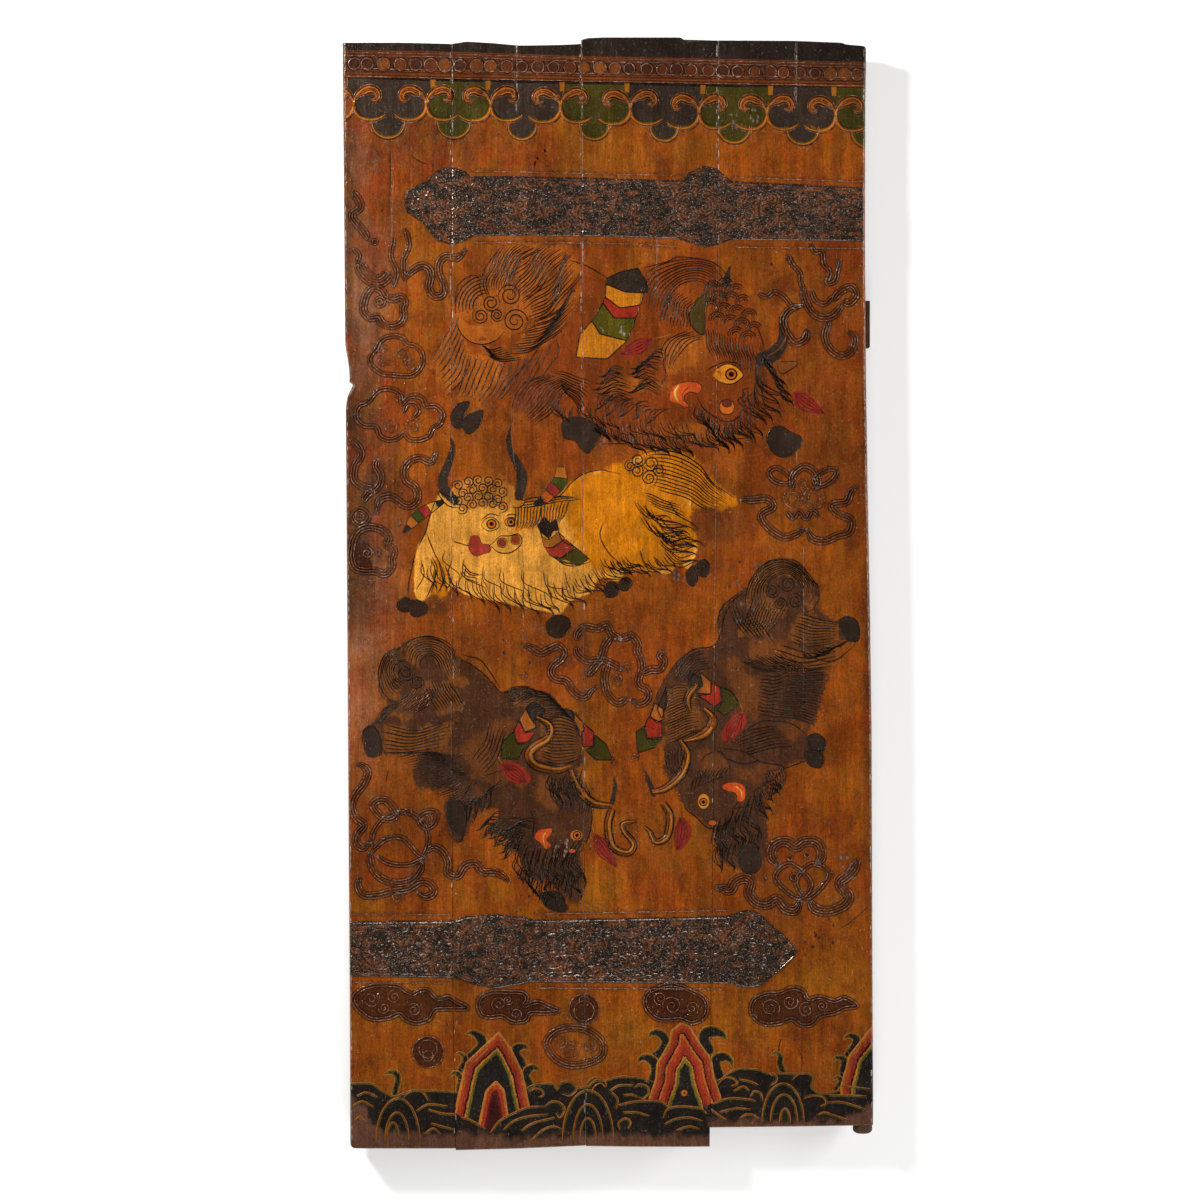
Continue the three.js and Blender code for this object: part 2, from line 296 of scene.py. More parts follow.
def on_boards(curve, half=0.0):
    """The stretches of a curve that lie on the leaf, clear of its outline, each with its own half widths."""
    across, up = on_leaf(curve).T
    foot = np.choose(board_at(across, up), [board_foot(i, across, up) for i in range(4)])
    inside = (across > latch_edge(up) + EDGE_CLEAR) & (across < along(HINGE_EDGE, up) - EDGE_CLEAR)
    inside &= (up > foot + EDGE_CLEAR) & (up < min(end for _, end in HEADS[0]) - EDGE_CLEAR)
    half = np.broadcast_to(half, len(curve))
    runs = np.split(np.arange(len(curve)), np.flatnonzero(np.diff(inside)) + 1)
    return [(curve[run], half[run]) for run in runs if inside[run[0]] and len(run) > 2]


def line(points, width=1.7, colour=INK, start=0.25, end=0.25, lift=0.25, raw=False):
    """A brush line, in millimetres of width, that swells from its start and thins to its end."""
    curve = np.asarray(points, float) if raw else smooth(points)
    t = np.linspace(0, 1, len(curve))
    swell = np.minimum(1, np.minimum(start + t * 5, end + (1 - t) * 3))
    LINES.extend((part, half, colour, lift) for part, half in on_boards(curve, 0.5 * width * swell))


def lines(many, **settings):
    """Several brush lines of one kind."""
    for points in many:
        line(points, **settings)


def comb(first, last, gap, width, wave, seed):
    """Strands of hair side by side between two guide strands, this far apart, with one slow wave each."""
    rng = np.random.default_rng(seed)
    a = resampled(smooth(first), count=STRAND_POINTS)
    b = resampled(smooth(last), count=STRAND_POINTS)
    t = np.linspace(0, 1, STRAND_POINTS)
    count = max(2, round(np.hypot(*(b - a).T).mean() / gap) + 1)
    for share in np.linspace(0, 1, count):
        sway = wave * np.sin(2 * math.pi * (1.3 * t + 0.5 * share + rng.uniform(0, 0.12)))
        strand = beside(a + (b - a) * share, (sway * np.minimum(1, 3 * t))[:, None])
        begin, finish = rng.uniform(0, STRAND_VARIES), 1 - rng.uniform(0, STRAND_VARIES)
        kept = strand[int(begin * (STRAND_POINTS - 1)):int(finish * (STRAND_POINTS - 1)) + 1]
        line(resampled(kept, HAIR_STEP_PX), width * rng.uniform(0.8, 1.15), raw=True)


def tufts(base, reach, wide, strands, width, seed):
    """Tufts of hair along a line: in each, strands that start side by side sway over to one common tip."""
    rng = np.random.default_rng(seed)
    roots = resampled(smooth(base), wide)
    side = np.gradient(roots, axis=0)
    first, last = np.array(reach, float)
    for k, root in enumerate(roots):
        lean = (first + (last - first) * k / max(1, len(roots) - 1)) * rng.uniform(0.85, 1.25)
        tip = root + lean + rng.uniform(-2, 2, 2)
        bow = np.array((-lean[1], lean[0])) * rng.uniform(0.10, 0.22)
        for share in np.linspace(-0.5, 0.5, strands):
            start = root + side[k] * share + lean * rng.uniform(-0.3, 0.1)
            late = start + 0.78 * (tip - start) - 0.25 * bow
            line((start, start + 0.42 * lean + bow, late, tip), width, start=0.3, end=0.15)


def gesso(points, width, height, raw=False):
    """A raised line of gesso, piped on before the painting: a low round bead along the curve."""
    curve = np.asarray(points, float) if raw else smooth(points)
    RELIEF.extend((part, half, GESSO, height) for part, half in on_boards(curve, 0.5 * width))


def ridges(points, count, closed):
    """Parallel raised ridges along a curve, with dark lines beside them as painted shade and dirt in the
    furrows, drawn together at open ends.
    """
    curve = smooth(points, closed=closed)
    t = np.linspace(0, 1, len(curve))
    spread = np.ones(len(curve)) if closed else np.minimum(1, 0.35 + 7 * np.minimum(t, 1 - t))
    reach = 0.5 * (count - 1) * RIDGE_PITCH_PX
    for k in range(count):
        top = beside(curve, (spread * (k * RIDGE_PITCH_PX - reach))[:, None])
        gesso(top, RIDGE_WIDTH, RIDGE_HEIGHT, raw=True)
    # Dark lines in the furrows and at both sides: painted shade, partly dirt
    for k in range(count + 1):
        furrow = beside(curve, (spread * ((k - 0.5) * RIDGE_PITCH_PX - reach))[:, None])
        line(furrow, 1.0, "#24140D", start=1, end=1, lift=0.14, raw=True)
    AREAS["ribbon"].append(("stroke", curve, spread * (reach + 1.6)))


def soot(points, reach):
    """Dirt held beside raised lines, as a soft dark stroke this many pixels to each side."""
    AREAS["soot"].append(("stroke", np.asarray(points, float), np.full(len(points), reach)))


def patch(outline, colour, lift=0.2, smoothed=True):
    """A small area of thick paint with a crisp edge."""
    edge = smooth(outline, closed=True)[:-1] if smoothed else np.asarray(outline, float)
    PATCHES.append((edge, colour, lift))


def inked(outline, colour, lift, width, ink_lift=0.25):
    """A small area of thick paint with a brush line round it."""
    patch(outline, colour, lift)
    line(outline + outline[:1], width, lift=ink_lift)


def disc(x, y, radius, colour, tall=None, lift=0.2):
    """A round or oval area of thick paint."""
    patch(ring(x, y, radius, tall)[:-1], colour, lift)


def area(layer, outline, smoothed=False):
    """A broad painted area of a layer, inside an outline."""
    edge = smooth(outline, closed=True) if smoothed else np.asarray(outline, float)
    AREAS[layer].append(("outline", edge, None))


def stroke_area(layer, points, widths):
    """A broad painted stroke of a layer, whose full widths in pixels are given at its points."""
    curve = smooth(points)
    AREAS[layer].append(("stroke", curve, half_widths(widths, len(curve))))


# Distances from painted areas, in pixels, for every point of a board's face

def depth_in_outline(edge, x, y):
    """Signed distance to a closed outline, positive inside, by its nearest side and its crossings."""
    ahead = np.roll(edge, -1, axis=0) - edge
    dx, dy = x[:, None] - edge[:, 0], y[:, None] - edge[:, 1]
    length = np.maximum((ahead ** 2).sum(axis=1), 1e-9)
    t = np.clip((dx * ahead[:, 0] + dy * ahead[:, 1]) / length, 0, 1)
    near = np.sqrt(((dx - t * ahead[:, 0]) ** 2 + (dy - t * ahead[:, 1]) ** 2).min(axis=1))
    next_y = edge[:, 1] + ahead[:, 1]
    spans = (edge[:, 1] > y[:, None]) != (next_y > y[:, None])
    rise = np.where(np.abs(ahead[:, 1]) < 1e-9, 1e-9, ahead[:, 1])
    crossed = spans & (dx < ahead[:, 0] * dy / rise)
    return np.where(crossed.sum(axis=1) % 2 == 1, near, -near)


def depth_in_stroke(curve, half, x, y):
    """Depth inside a tapered stroke: its half width at the nearest point of its middle, less the distance."""
    dx, dy = x[:, None] - curve[:, 0], y[:, None] - curve[:, 1]
    distance = np.sqrt(dx ** 2 + dy ** 2)
    return (half - distance).max(axis=1)


def layer_depth(shapes, x, y):
    """The greatest depth in any shape of a layer, worked out only near each shape."""
    depth = np.full(x.shape, -AREA_REACH_PX)
    for kind, curve, half in shapes:
        low, high = curve.min(axis=0) - AREA_REACH_PX, curve.max(axis=0) + AREA_REACH_PX
        near = np.flatnonzero((x > low[0]) & (x < high[0]) & (y > low[1]) & (y < high[1]))
        if near.size:
            if kind == "outline":
                found = depth_in_outline(curve, x[near], y[near])
            else:
                found = depth_in_stroke(curve, half, x[near], y[near])
            depth[near] = np.maximum(depth[near], found)
    return depth


# Meshes

def new_piece(name, places, faces, materials, smooth_faces=True, face_slots=None):
    """A mesh object of places in millimetres on the leaf, made metres with the leaf's middle over zero."""
    mesh = bpy.data.meshes.new(name)
    places = np.asarray(places, float) - np.array((0, LEAF_HEIGHT / 2, 0))
    mesh.vertices.add(len(places))
    mesh.vertices.foreach_set("co", (places * MM).ravel())
    sizes = np.concatenate([np.full(len(f), f.shape[1]) for f in faces])
    corners = np.concatenate([f.ravel() for f in faces]).astype(np.int32)
    mesh.loops.add(len(corners))
    mesh.loops.foreach_set("vertex_index", corners)
    mesh.polygons.add(len(sizes))
    starts = np.concatenate(([0], np.cumsum(sizes)[:-1])).astype(np.int32)
    mesh.polygons.foreach_set("loop_start", starts)
    mesh.polygons.foreach_set("use_smooth", np.broadcast_to(smooth_faces, sizes.shape).copy())
    for material in materials:
        mesh.materials.append(material)
    if face_slots is not None:
        mesh.polygons.foreach_set("material_index", face_slots)
    mesh.update(calc_edges=True)
    mesh.validate()
    piece = bpy.data.objects.new(name, mesh)
    bpy.context.scene.collection.objects.link(piece)
    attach(piece, "root")
    return piece


def give_numbers(piece, name, values):
    """Store one number for each vertex."""
    layer = piece.data.attributes.new(name, "FLOAT", "POINT")
    layer.data.foreach_set("value", np.asarray(values, np.float32).ravel())


def give_colours(piece, name, colours):
    """Store one linear colour for each vertex."""
    layer = piece.data.color_attributes.new(name, "FLOAT_COLOR", "POINT")
    full = np.column_stack((colours, np.ones(len(colours))))
    layer.data.foreach_set("color", full.astype(np.float32).ravel())


def quads(first, second, third, fourth):
    """Four-sided faces from four arrays of corner numbers."""
    return np.stack([np.ravel(c) for c in (first, second, third, fourth)], axis=1)


def skin_faces(number):
    """The faces of a skin of rings, given their corner numbers: a tube from ring to ring, and two caps."""
    nxt = np.roll(number, -1, axis=1)
    tube = quads(number[:-1], nxt[:-1], nxt[1:], number[1:])
    return [tube, np.stack((number[0][::-1], number[-1]))]


class Columns:
    """Columns of a board's face: each is a share of two guide lines and an offset, so cracks lie on them."""

    def __init__(self, rounds, spans, cell):
        self.parts = []
        last = len(spans) - 1
        for i, wide in enumerate(spans):
            near_left = NEAR_EDGE * rounds[0] if i == 0 else np.concatenate(([0], NEAR_CRACK))
            near_right = NEAR_EDGE * rounds[1] if i == last else NEAR_CRACK
            count = max(2, round(wide / cell))
            inner = np.linspace(0, 1, count + 1)[1:-1]
            for offset in near_left:
                self.parts.append((i, 1.0, offset))
            for share in inner:
                pull = near_left[-1] * (1 - share) - near_right[-1] * share
                self.parts.append((i, 1 - share, pull))
            for offset in near_right[::-1]:
                self.parts.append((i, 0.0, -offset))

    def places(self, guides):
        """Where every column stands, for guide lines given as whole arrays."""
        columns = []
        for c, (i, share, offset) in enumerate(self.parts):
            columns.append(guides[i][:, c] * share + guides[i + 1][:, c] * (1 - share) + offset)
        return np.stack(columns, axis=1)


def board_rows():
    """Rows of a board as (share of its height, offset from its foot, offset from its head)."""
    near = NEAR_EDGE * END_ROUND
    count = round(LEAF_HEIGHT / CELL)
    shares = np.linspace(0, 1, count)[1:-1]
    share = np.concatenate((np.zeros(len(near)), shares, np.ones(len(near))))
    offset = np.concatenate((near, near[-1] * (1 - 2 * shares), -near[::-1]))
    return share[:, None], offset[:, None]


def face_grid(i):
    """Across and up of every point of a board's face, found in three steps as each depends on the other."""
    share, offset = board_rows()
    up = np.broadcast_to(share * LEAF_HEIGHT, (len(share), 1))
    wide = [np.mean(edge) for edge in board_edges(i, np.array((400.0, 1500.0)))]
    crack = np.mean(along(crack_line(i), np.array((400.0, 1500.0))))
    rounds = (OUTER_ROUND if i == 0 else JOINT_ROUND, OUTER_ROUND if i == 3 else JOINT_ROUND)
    columns = Columns(rounds, (crack - wide[0], wide[1] - crack), CELL)
    up = np.repeat(up, len(columns.parts), axis=1)
    for _ in range(3):
        left, right = board_edges(i, up)
        across = columns.places((left, along(crack_line(i), up), right))
        foot, head = board_foot(i, across, up), board_head(i, across, up)
        up = foot + (head - foot) * share + offset
    return across, up


def back_rows(up):
    """Up and z of a board's back at each row: flat, and down into each housing with its undercut sides."""
    back_up = up.copy()
    back_z = np.full(len(up), BACK_Z)
    for middle in HOUSINGS_AT:
        inside = np.flatnonzero(np.abs(up - middle) < HOUSING_BOTTOM + 1.0)
        back_z[inside] = HOUSING_Z
        back_up[inside] = np.clip(up[inside], middle - HOUSING_BOTTOM, middle + HOUSING_BOTTOM)
        back_up[inside[0]] = middle - HOUSING_BOTTOM
        back_up[inside[-1]] = middle + HOUSING_BOTTOM
        back_up[inside[0] - 1] = middle - HOUSING_NECK
        back_up[inside[-1] + 1] = middle + HOUSING_NECK
    return back_up, back_z


def board(i):
    """One board: a closed skin of rings, each round the face, the right side, the back and the left side."""
    across, up = face_grid(i)
    rows, columns = across.shape
    z = FACE_Z + face_rise(across, up, i)
    middle_up = up[:, columns // 2]
    back_up, back_z = back_rows(middle_up)
    shift = back_up - middle_up
    left, right = across[:, 0], across[:, -1]
    chamfer = np.where(back_z > BACK_Z, HOUSING_EDGE, BACK_ROUND)
    inner_left, inner_right = left + chamfer, right - chamfer
    back_across = inner_left[:, None] + (inner_right - inner_left)[:, None] * BACK_SHARES
    right_side = [(right, up[:, -1], np.full(rows, SIDE_Z)), (right, up[:, -1] + shift, back_z + chamfer)]
    left_side = [(left, up[:, 0] + shift, back_z + chamfer), (left, up[:, 0], np.full(rows, SIDE_Z))]
    back = [(back_across[:, k], (up[:, -1] * s + up[:, 0] * (1 - s)) + shift, back_z)
            for k, s in enumerate(BACK_SHARES)]
    rest = np.stack([np.stack(place, axis=1) for place in (*right_side, *back, *left_side)], axis=1)
    face = np.stack((across, up, z), axis=2)
    skin = np.concatenate((face, rest), axis=1)
    around = np.arange(skin.shape[1])
    on_face = np.tile(around < columns - 1, rows - 1)
    painted = np.tile((around < columns) | (around == around[-1]), rows - 1)
    is_smooth = np.concatenate((on_face, (False, False)))
    slots = np.concatenate((np.where(painted, 0, 1), (1, 1))).astype(np.int32)
    places, faces = skin.reshape(-1, 3), skin_faces(np.arange(skin.size // 3).reshape(rows, -1))
    if i == 3:
        pin_places, pin_faces = pin_skin(len(places))
        places = np.vstack((places, pin_places))
        faces += pin_faces
        extra = sum(len(f) for f in pin_faces)
        is_smooth = np.concatenate((is_smooth, np.ones(extra, bool)))
        slots = np.concatenate((slots, np.ones(extra, np.int32)))
    woods = (PAINTED_WOOD, BARE_WOOD)
    piece = new_piece("painted_board_" + BOARD_NAMES[i], places, faces, woods, is_smooth, slots)
    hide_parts("plank_" + BOARD_NAMES[i])
    paint(piece, places)


def pin_skin(first):
    """The turned pin: a profile with a rounded nose carried round an axis that runs up the leaf."""
    angle = np.radians(np.linspace(0, 90, 7))
    nose_r = PIN_RADIUS - PIN_NOSE + PIN_NOSE * np.sin(angle)
    nose_up = PIN_END + PIN_NOSE * (1 - np.cos(angle))
    radius = np.concatenate((nose_r, (PIN_RADIUS - 0.2, PIN_RADIUS)))
    up = np.concatenate((nose_up, (PIN_END + PIN_NOSE + 4, PIN_END + PIN_ROOT)))
    turn = np.linspace(0, 2 * math.pi, PIN_SIDES, endpoint=False)
    places = np.stack((PIN_AT + radius[:, None] * np.cos(turn), np.repeat(up[:, None], PIN_SIDES, axis=1),
                       PIN_Z + radius[:, None] * np.sin(turn)), axis=2)
    number = first + np.arange(places.size // 3).reshape(-1, PIN_SIDES)
    return places.reshape(-1, 3), skin_faces(number[:, ::-1])


def paint(piece, places):
    """Give a board its ground colours and its depth in every painted area, in millimetres."""
    x, y = in_layout(places[:, 0], places[:, 1])
    for layer, shapes in AREAS.items():
        give_numbers(piece, layer, layer_depth(shapes, x, y) * PIXEL)
    give_numbers(piece, "head_band", (head_line(x) - y) * PIXEL)
    give_colours(piece, "ground", ground_colour(x, y))


def ground_colour(x, y):
    """The ground: one brown, with soft patches of other colours laid over it in turn.

    The cover of a patch is its strength times exp(-0.7 r^3), with r the distance in its half sizes.
    """
    colour = np.tile(linear(GROUND), (len(x), 1))
    for code, strength, places in SOFT_PATCHES:
        for at_x, at_y, wide, tall in places:
            reach = ((x - at_x) / wide) ** 2 + ((y - at_y) / tall) ** 2
            cover = strength * np.exp(-np.minimum(reach, 40) ** 1.5 * 0.7)
            colour += (linear(code) - colour) * cover[:, None]
    return colour


def stroke_mesh(name, strokes, ring_across, ring_rise, material, painted=True):
    """Every stroke of one kind as a closed strip: a small ring carried along each curve over the face.

    Each stroke is (curve in pixels, half width in mm, colour, height in mm). ring_across gives the ring's
    corners in half widths, and ring_rise gives their heights in stroke heights above the face.
    """
    curve = np.concatenate([s[0] for s in strokes])
    sizes = np.array([len(s[0]) for s in strokes])
    half = np.concatenate([np.broadcast_to(s[1], len(s[0])) for s in strokes])
    height = np.concatenate([np.broadcast_to(s[3], len(s[0])) for s in strokes])
    middle = on_leaf(curve)
    forward = np.concatenate([np.gradient(on_leaf(s[0]), axis=0) for s in strokes])
    forward /= np.maximum(np.hypot(*forward.T), 1e-6)[:, None]
    sideways = np.column_stack((forward[:, 1], -forward[:, 0]))
    offsets, rises = np.array(ring_across), np.array(ring_rise)
    flat = middle[:, None] + sideways[:, None] * (half[:, None] * offsets)[..., None]
    ground = face_rise(flat[..., 0], flat[..., 1])
    z = FACE_Z + ground + np.where(rises > 0, height[:, None] * rises, rises)
    places = np.concatenate((flat, z[..., None]), axis=2)
    around = len(offsets)
    number = np.arange(len(curve) * around).reshape(-1, around)
    first = np.concatenate(([0], np.cumsum(sizes)[:-1]))
    final = np.cumsum(sizes) - 1
    joined = np.setdiff1d(np.arange(len(curve)), final)
    nxt = np.roll(number, -1, axis=1)
    tube = quads(number[joined], nxt[joined], nxt[joined + 1], number[joined + 1])
    caps = np.vstack((number[first][:, ::-1], number[final]))
    piece = new_piece(name, places.reshape(-1, 3), [tube, caps], (material,))
    if painted:
        tint = np.concatenate([np.tile(linear(s[2]), (len(s[0]), 1)) for s in strokes])
        give_colours(piece, "paint", np.repeat(tint, around, axis=0))
    else:
        give_numbers(piece, "crest", np.tile(rises > 0, len(curve)))


def patch_mesh(name, patches, material):
    """Small painted areas as closed plates: a top that lies on the face, a rim and a hidden underside."""
    places, faces, tints, start = [], [], [], 0
    for edge, colour, lift in patches:
        turn = np.sum(np.cross(edge, np.roll(edge, -1, axis=0)))
        flat = on_leaf(edge if turn < 0 else edge[::-1])
        n = len(flat)
        rise = FACE_Z + face_rise(flat[:, 0], flat[:, 1])
        places += [np.column_stack((flat, rise + lift)), np.column_stack((flat, rise - SUNK))]
        number = np.arange(n)
        nxt = np.roll(number, -1)
        faces.append(quads(start + number + n, start + nxt + n, start + nxt, start + number))
        faces.append(start + number[None])
        faces.append(start + n + number[None, ::-1])
        tints.append(np.tile(linear(colour), (2 * n, 1)))
        start += 2 * n
    flat_faces = np.zeros(sum(len(f) for f in faces), bool)
    piece = new_piece(name, np.vstack(places), faces, (material,), flat_faces)
    give_colours(piece, "paint", np.vstack(tints))


# Materials

NOISE, RANGE, SUM, MIX = "ShaderNodeTexNoise", "ShaderNodeMapRange", "ShaderNodeMath", "ShaderNodeMix"
STORED, PRINCIPLED, SURFACE = "ShaderNodeAttribute", "ShaderNodeBsdfPrincipled", "ShaderNodeOutputMaterial"
MIX_SHARE, MIX_UNDER, MIX_COAT, MIX_RESULT = 0, 6, 7, 2
BAND_EDGE = 0.25


def node(tree, kind, inputs=(), output=0, **settings):
    """Add a node with its settings. Inputs are numbers, hex colours or outputs of other nodes."""
    made = tree.nodes.new(kind)
    for key, value in settings.items():
        setattr(made, key, value)
    for key, value in dict(inputs).items():
        if isinstance(value, bpy.types.NodeSocket):
            tree.links.new(value, made.inputs[key])
        else:
            made.inputs[key].default_value = rgba(value) if isinstance(value, str) else value
    return made.outputs[output] if len(made.outputs) else None


def drawn_out(tree, along_grain):
    """Object coordinates in which every pattern is this many times longer up the board than across it."""
    where = node(tree, "ShaderNodeTexCoord", output="Object")
    return node(tree, "ShaderNodeMapping", {"Vector": where, "Scale": (1, 1 / along_grain, 1)})


def uneven(tree, where, size, low, high, detail=4.0, rough=0.6, limits=(0.32, 0.68)):
    """Irregular patches of this size in millimetres, brought smoothly between two levels."""
    noise = node(tree, NOISE, {"Vector": where, "Scale": 1 / (size * MM), "Detail": detail,
                               "Roughness": rough}, "Fac")
    return node(tree, RANGE, {"Value": noise, "From Min": limits[0], "From Max": limits[1], "To Min": low,
                              "To Max": high}, "Result", interpolation_type="SMOOTHSTEP")


def laid_over(tree, colour, coats):
    """Lay coats over a colour in turn, each (share, colour) or (share, colour, way of mixing)."""
    for share, coat, *way in coats:
        colour = node(tree, MIX, {MIX_SHARE: share, MIX_UNDER: colour, MIX_COAT: coat}, MIX_RESULT,
                      data_type="RGBA", blend_type=way[0] if way else "MIX")
    return colour


def ragged_depth(tree, layer, edge):
    """The stored depth in a painted layer, in millimetres, with a noise added that makes its edge ragged."""
    stored = node(tree, STORED, output="Fac", attribute_name=layer)
    return node(tree, SUM, {0: stored, 1: edge}, operation="ADD")


def cover(tree, layer, edge, soft=0.5, most=1.0):
    """The share of a painted layer, from 0 outside to its most inside, over a soft edge this wide."""
    depth = ragged_depth(tree, layer, edge)
    return node(tree, RANGE, {"Value": depth, "From Min": -soft, "From Max": soft, "To Max": most}, "Result",
                interpolation_type="SMOOTHSTEP")


def bands(tree, layer, edge, stops):
    """Nested bands of colour by the depth inside a layer, in millimetres: (depth at which it starts, hex)."""
    low, high = stops[0][0] - 1, stops[-1][0] + 1
    depth = ragged_depth(tree, layer, edge)
    share = node(tree, RANGE, {"Value": depth, "From Min": low, "From Max": high}, "Result")
    picked = node(tree, "ShaderNodeValToRGB", {"Fac": share}, "Color")
    elements = picked.node.color_ramp.elements
    elements[0].position, elements[0].color = 0.0, rgba(stops[0][1])
    elements[1].position, elements[1].color = 1.0, rgba(stops[-1][1])
    for (_, before), (start, after) in zip(stops, stops[1:]):
        elements.new((start - BAND_EDGE - low) / (high - low)).color = rgba(before)
        elements.new((start + BAND_EDGE - low) / (high - low)).color = rgba(after)
    return picked


def aged(tree, colour, strength=1.0):
    """Age over a paint: drawn-out grain, mottling of several sizes, dark specks and grey rubbed flakes."""
    grain, flat = drawn_out(tree, 20), drawn_out(tree, 1.6)
    return laid_over(tree, colour, (
        (1.0, uneven(tree, grain, 1.9, 1 - 0.16 * strength, 1 + 0.13 * strength, 4), "MULTIPLY"),
        (1.0, uneven(tree, grain, 8.0, 1 - 0.14 * strength, 1 + 0.10 * strength, 4), "MULTIPLY"),
        (1.0, uneven(tree, flat, 2.4, 1 - 0.26 * strength, 1 + 0.20 * strength, 3, 0.75), "MULTIPLY"),
        (1.0, uneven(tree, flat, 22, 0.78, 1.15, 6, 0.72), "MULTIPLY"),
        (1.0, uneven(tree, flat, 90, 0.78, 1.14), "MULTIPLY"),
        (uneven(tree, flat, 4.6, 0, 0.7 * strength, 4, 0.65, (0.62, 0.69)), "#1E100C"),
        (uneven(tree, flat, 7.0, 0, 0.5 * strength, 6, 0.75, (0.66, 0.71)), "#6A5850")))


def varnished(tree, colour, rough=(0.14, 0.32), relief=1.0, pimples=1.0, shine=0.5):
    """The skin of the thing: glossy where whole, duller where dirty, with raised grain and sparse pimples."""
    grain, flat = drawn_out(tree, 18), drawn_out(tree, 1.2)
    height = uneven(tree, grain, 2.4, 0, 0.16 * relief, 4)
    for where, size, tall, limits in ((flat, 4.0, pimples, (0.58, 0.76)), (flat, 9.0, 0.4, (0.3, 0.7)),
                                      (grain, 14.0, 0.4 * relief, (0.3, 0.7))):
        height = node(tree, SUM, {0: height, 1: uneven(tree, where, size, 0, tall, 3, 0.6, limits)},
                      operation="ADD")
    bump = node(tree, "ShaderNodeBump", {"Strength": 0.85, "Distance": 0.001, "Height": height})
    shader = node(tree, PRINCIPLED, {
        "Base Color": colour, "Roughness": uneven(tree, flat, 28, *rough, 5), "Normal": bump, "IOR": 1.5,
        "Specular IOR Level": shine, "Specular Tint": "#F8E2D0"})
    node(tree, SURFACE, {"Surface": shader})


def new_material(name):
    """A material without nodes, and its node tree."""
    material = bpy.data.materials.new(name)
    material.use_nodes = True
    material.node_tree.nodes.clear()
    return material, material.node_tree


def varnished_paint_on_wood():
    """Glue-bound mineral paints under an old oil varnish on planed softwood.

    The varnish has gone brown and glossy, the grain stands up through it, and the brushed areas have slightly
    ragged edges. Each area is cut out where its stored depth, made ragged by a fine noise, passes zero.
    """
    material, tree = new_material("varnished_paint_on_softwood")
    flat, grain = drawn_out(tree, 1.3), drawn_out(tree, 7)
    ragged = uneven(tree, flat, 3.0, -0.9, 0.9, 3)
    hairy = uneven(tree, flat, 3.4, -4.0, 4.0, 4, 0.7)
    washed = uneven(tree, flat, 20, -6.0, 6.0, 5, 0.6)
    colour = node(tree, STORED, output="Color", attribute_name="ground")
    colour = laid_over(tree, colour, (
        (uneven(tree, flat, 34, 0, 0.5, 6, 0.7, (0.42, 0.64)), "#925A10"),
        (uneven(tree, flat, 70, 0, 0.5, 5, 0.65, (0.45, 0.63)), "#96340A"),
        (uneven(tree, flat, 5.0, 0, 0.4, 5, 0.7, (0.58, 0.70)), "#B05A16"),
        (uneven(tree, grain, 22, 0, 0.35, 5), "#4E2210"),
        (uneven(tree, flat, 55, 0, 0.4, 6, 0.7, (0.52, 0.66)), "#3E1C10"),
        (cover(tree, "brown_coat", washed, 4.0, 0.72), "#84380F"),
        (cover(tree, "dark_coat", hairy, 3.0, 0.88), "#442C1F"),
        (cover(tree, "pale_coat", ragged, 1.5, 0.97), "#E69C3A"),
        (cover(tree, "bright_coat", washed, 6.0, 0.97), "#D07806"),
        (cover(tree, "rubbed", washed, 6.0, 0.4), "#94501C"),
        (cover(tree, "glow", washed, 3.0, 0.75), "#8A4E1E"),
        (cover(tree, "lit", washed, 4.0, 0.65), "#B05E18"),
        (cover(tree, "band", ragged, 1.5, 0.85), "#3C1B10"),
        (cover(tree, "head_band", ragged, 0.8), "#2A201B"),
        (cover(tree, "wave", ragged, 0.5), bands(tree, "wave", ragged, (
            (-1.5, "#6E4A18"), (-0.6, "#A8621E"), (1.2, "#54501C"), (3.0, "#221C19")))),
        (cover(tree, "hill", ragged), bands(tree, "hill", ragged, (
            (-1, "#C8702A"), (3.0, "#A8421F"), (9, "#8E2C1C"), (14.5, INK), (17.5, "#C0702A"),
            (20.5, "#5E5A1C"), (24.5, "#221D1A")))),
        (cover(tree, "stepped_hill", ragged), bands(tree, "stepped_hill", ragged, (
            (-1, "#C8702A"), (2.5, "#A8401F"), (8, "#922E1D"), (13, INK), (15.5, "#C0682A"),
            (18.5, "#A63C1E"), (25, "#8E2C1C"), (31, INK), (33, "#C0682A"), (35.5, "#66621E"),
            (40, "#221D1A")))),
        (cover(tree, "hill_core", ragged), bands(tree, "hill_core", ragged, (
            (-1, "#C8702A"), (3, "#A0381F"), (9.5, "#5A1A14"), (14, "#3A1512")))),
        (cover(tree, "front", ragged), "#221C19"),
        (cover(tree, "worn", washed, 8.0, 0.85), "#6E4836"),
        *((cover(tree, layer, ragged), code) for layer, code in COATS.items()),
        (cover(tree, "ribbon", ragged, 0.5, 0.1), "#4C2C20"),
        (cover(tree, "cloud", ragged, 0.5, 0.85), "#38190F"),
        (cover(tree, "soot", hairy, 3.0, 0.5), "#2C140C")))
    varnished(tree, aged(tree, colour))
    return material


def thick_paint():
    """Brush lines and small areas of the same paints, a little proud of the ground and under its varnish."""
    material, tree = new_material("thick_brushed_paint")
    paint = node(tree, STORED, output="Color", attribute_name="paint")
    varnished(tree, aged(tree, paint, 0.7), relief=0.6, pimples=0.5)
    return material


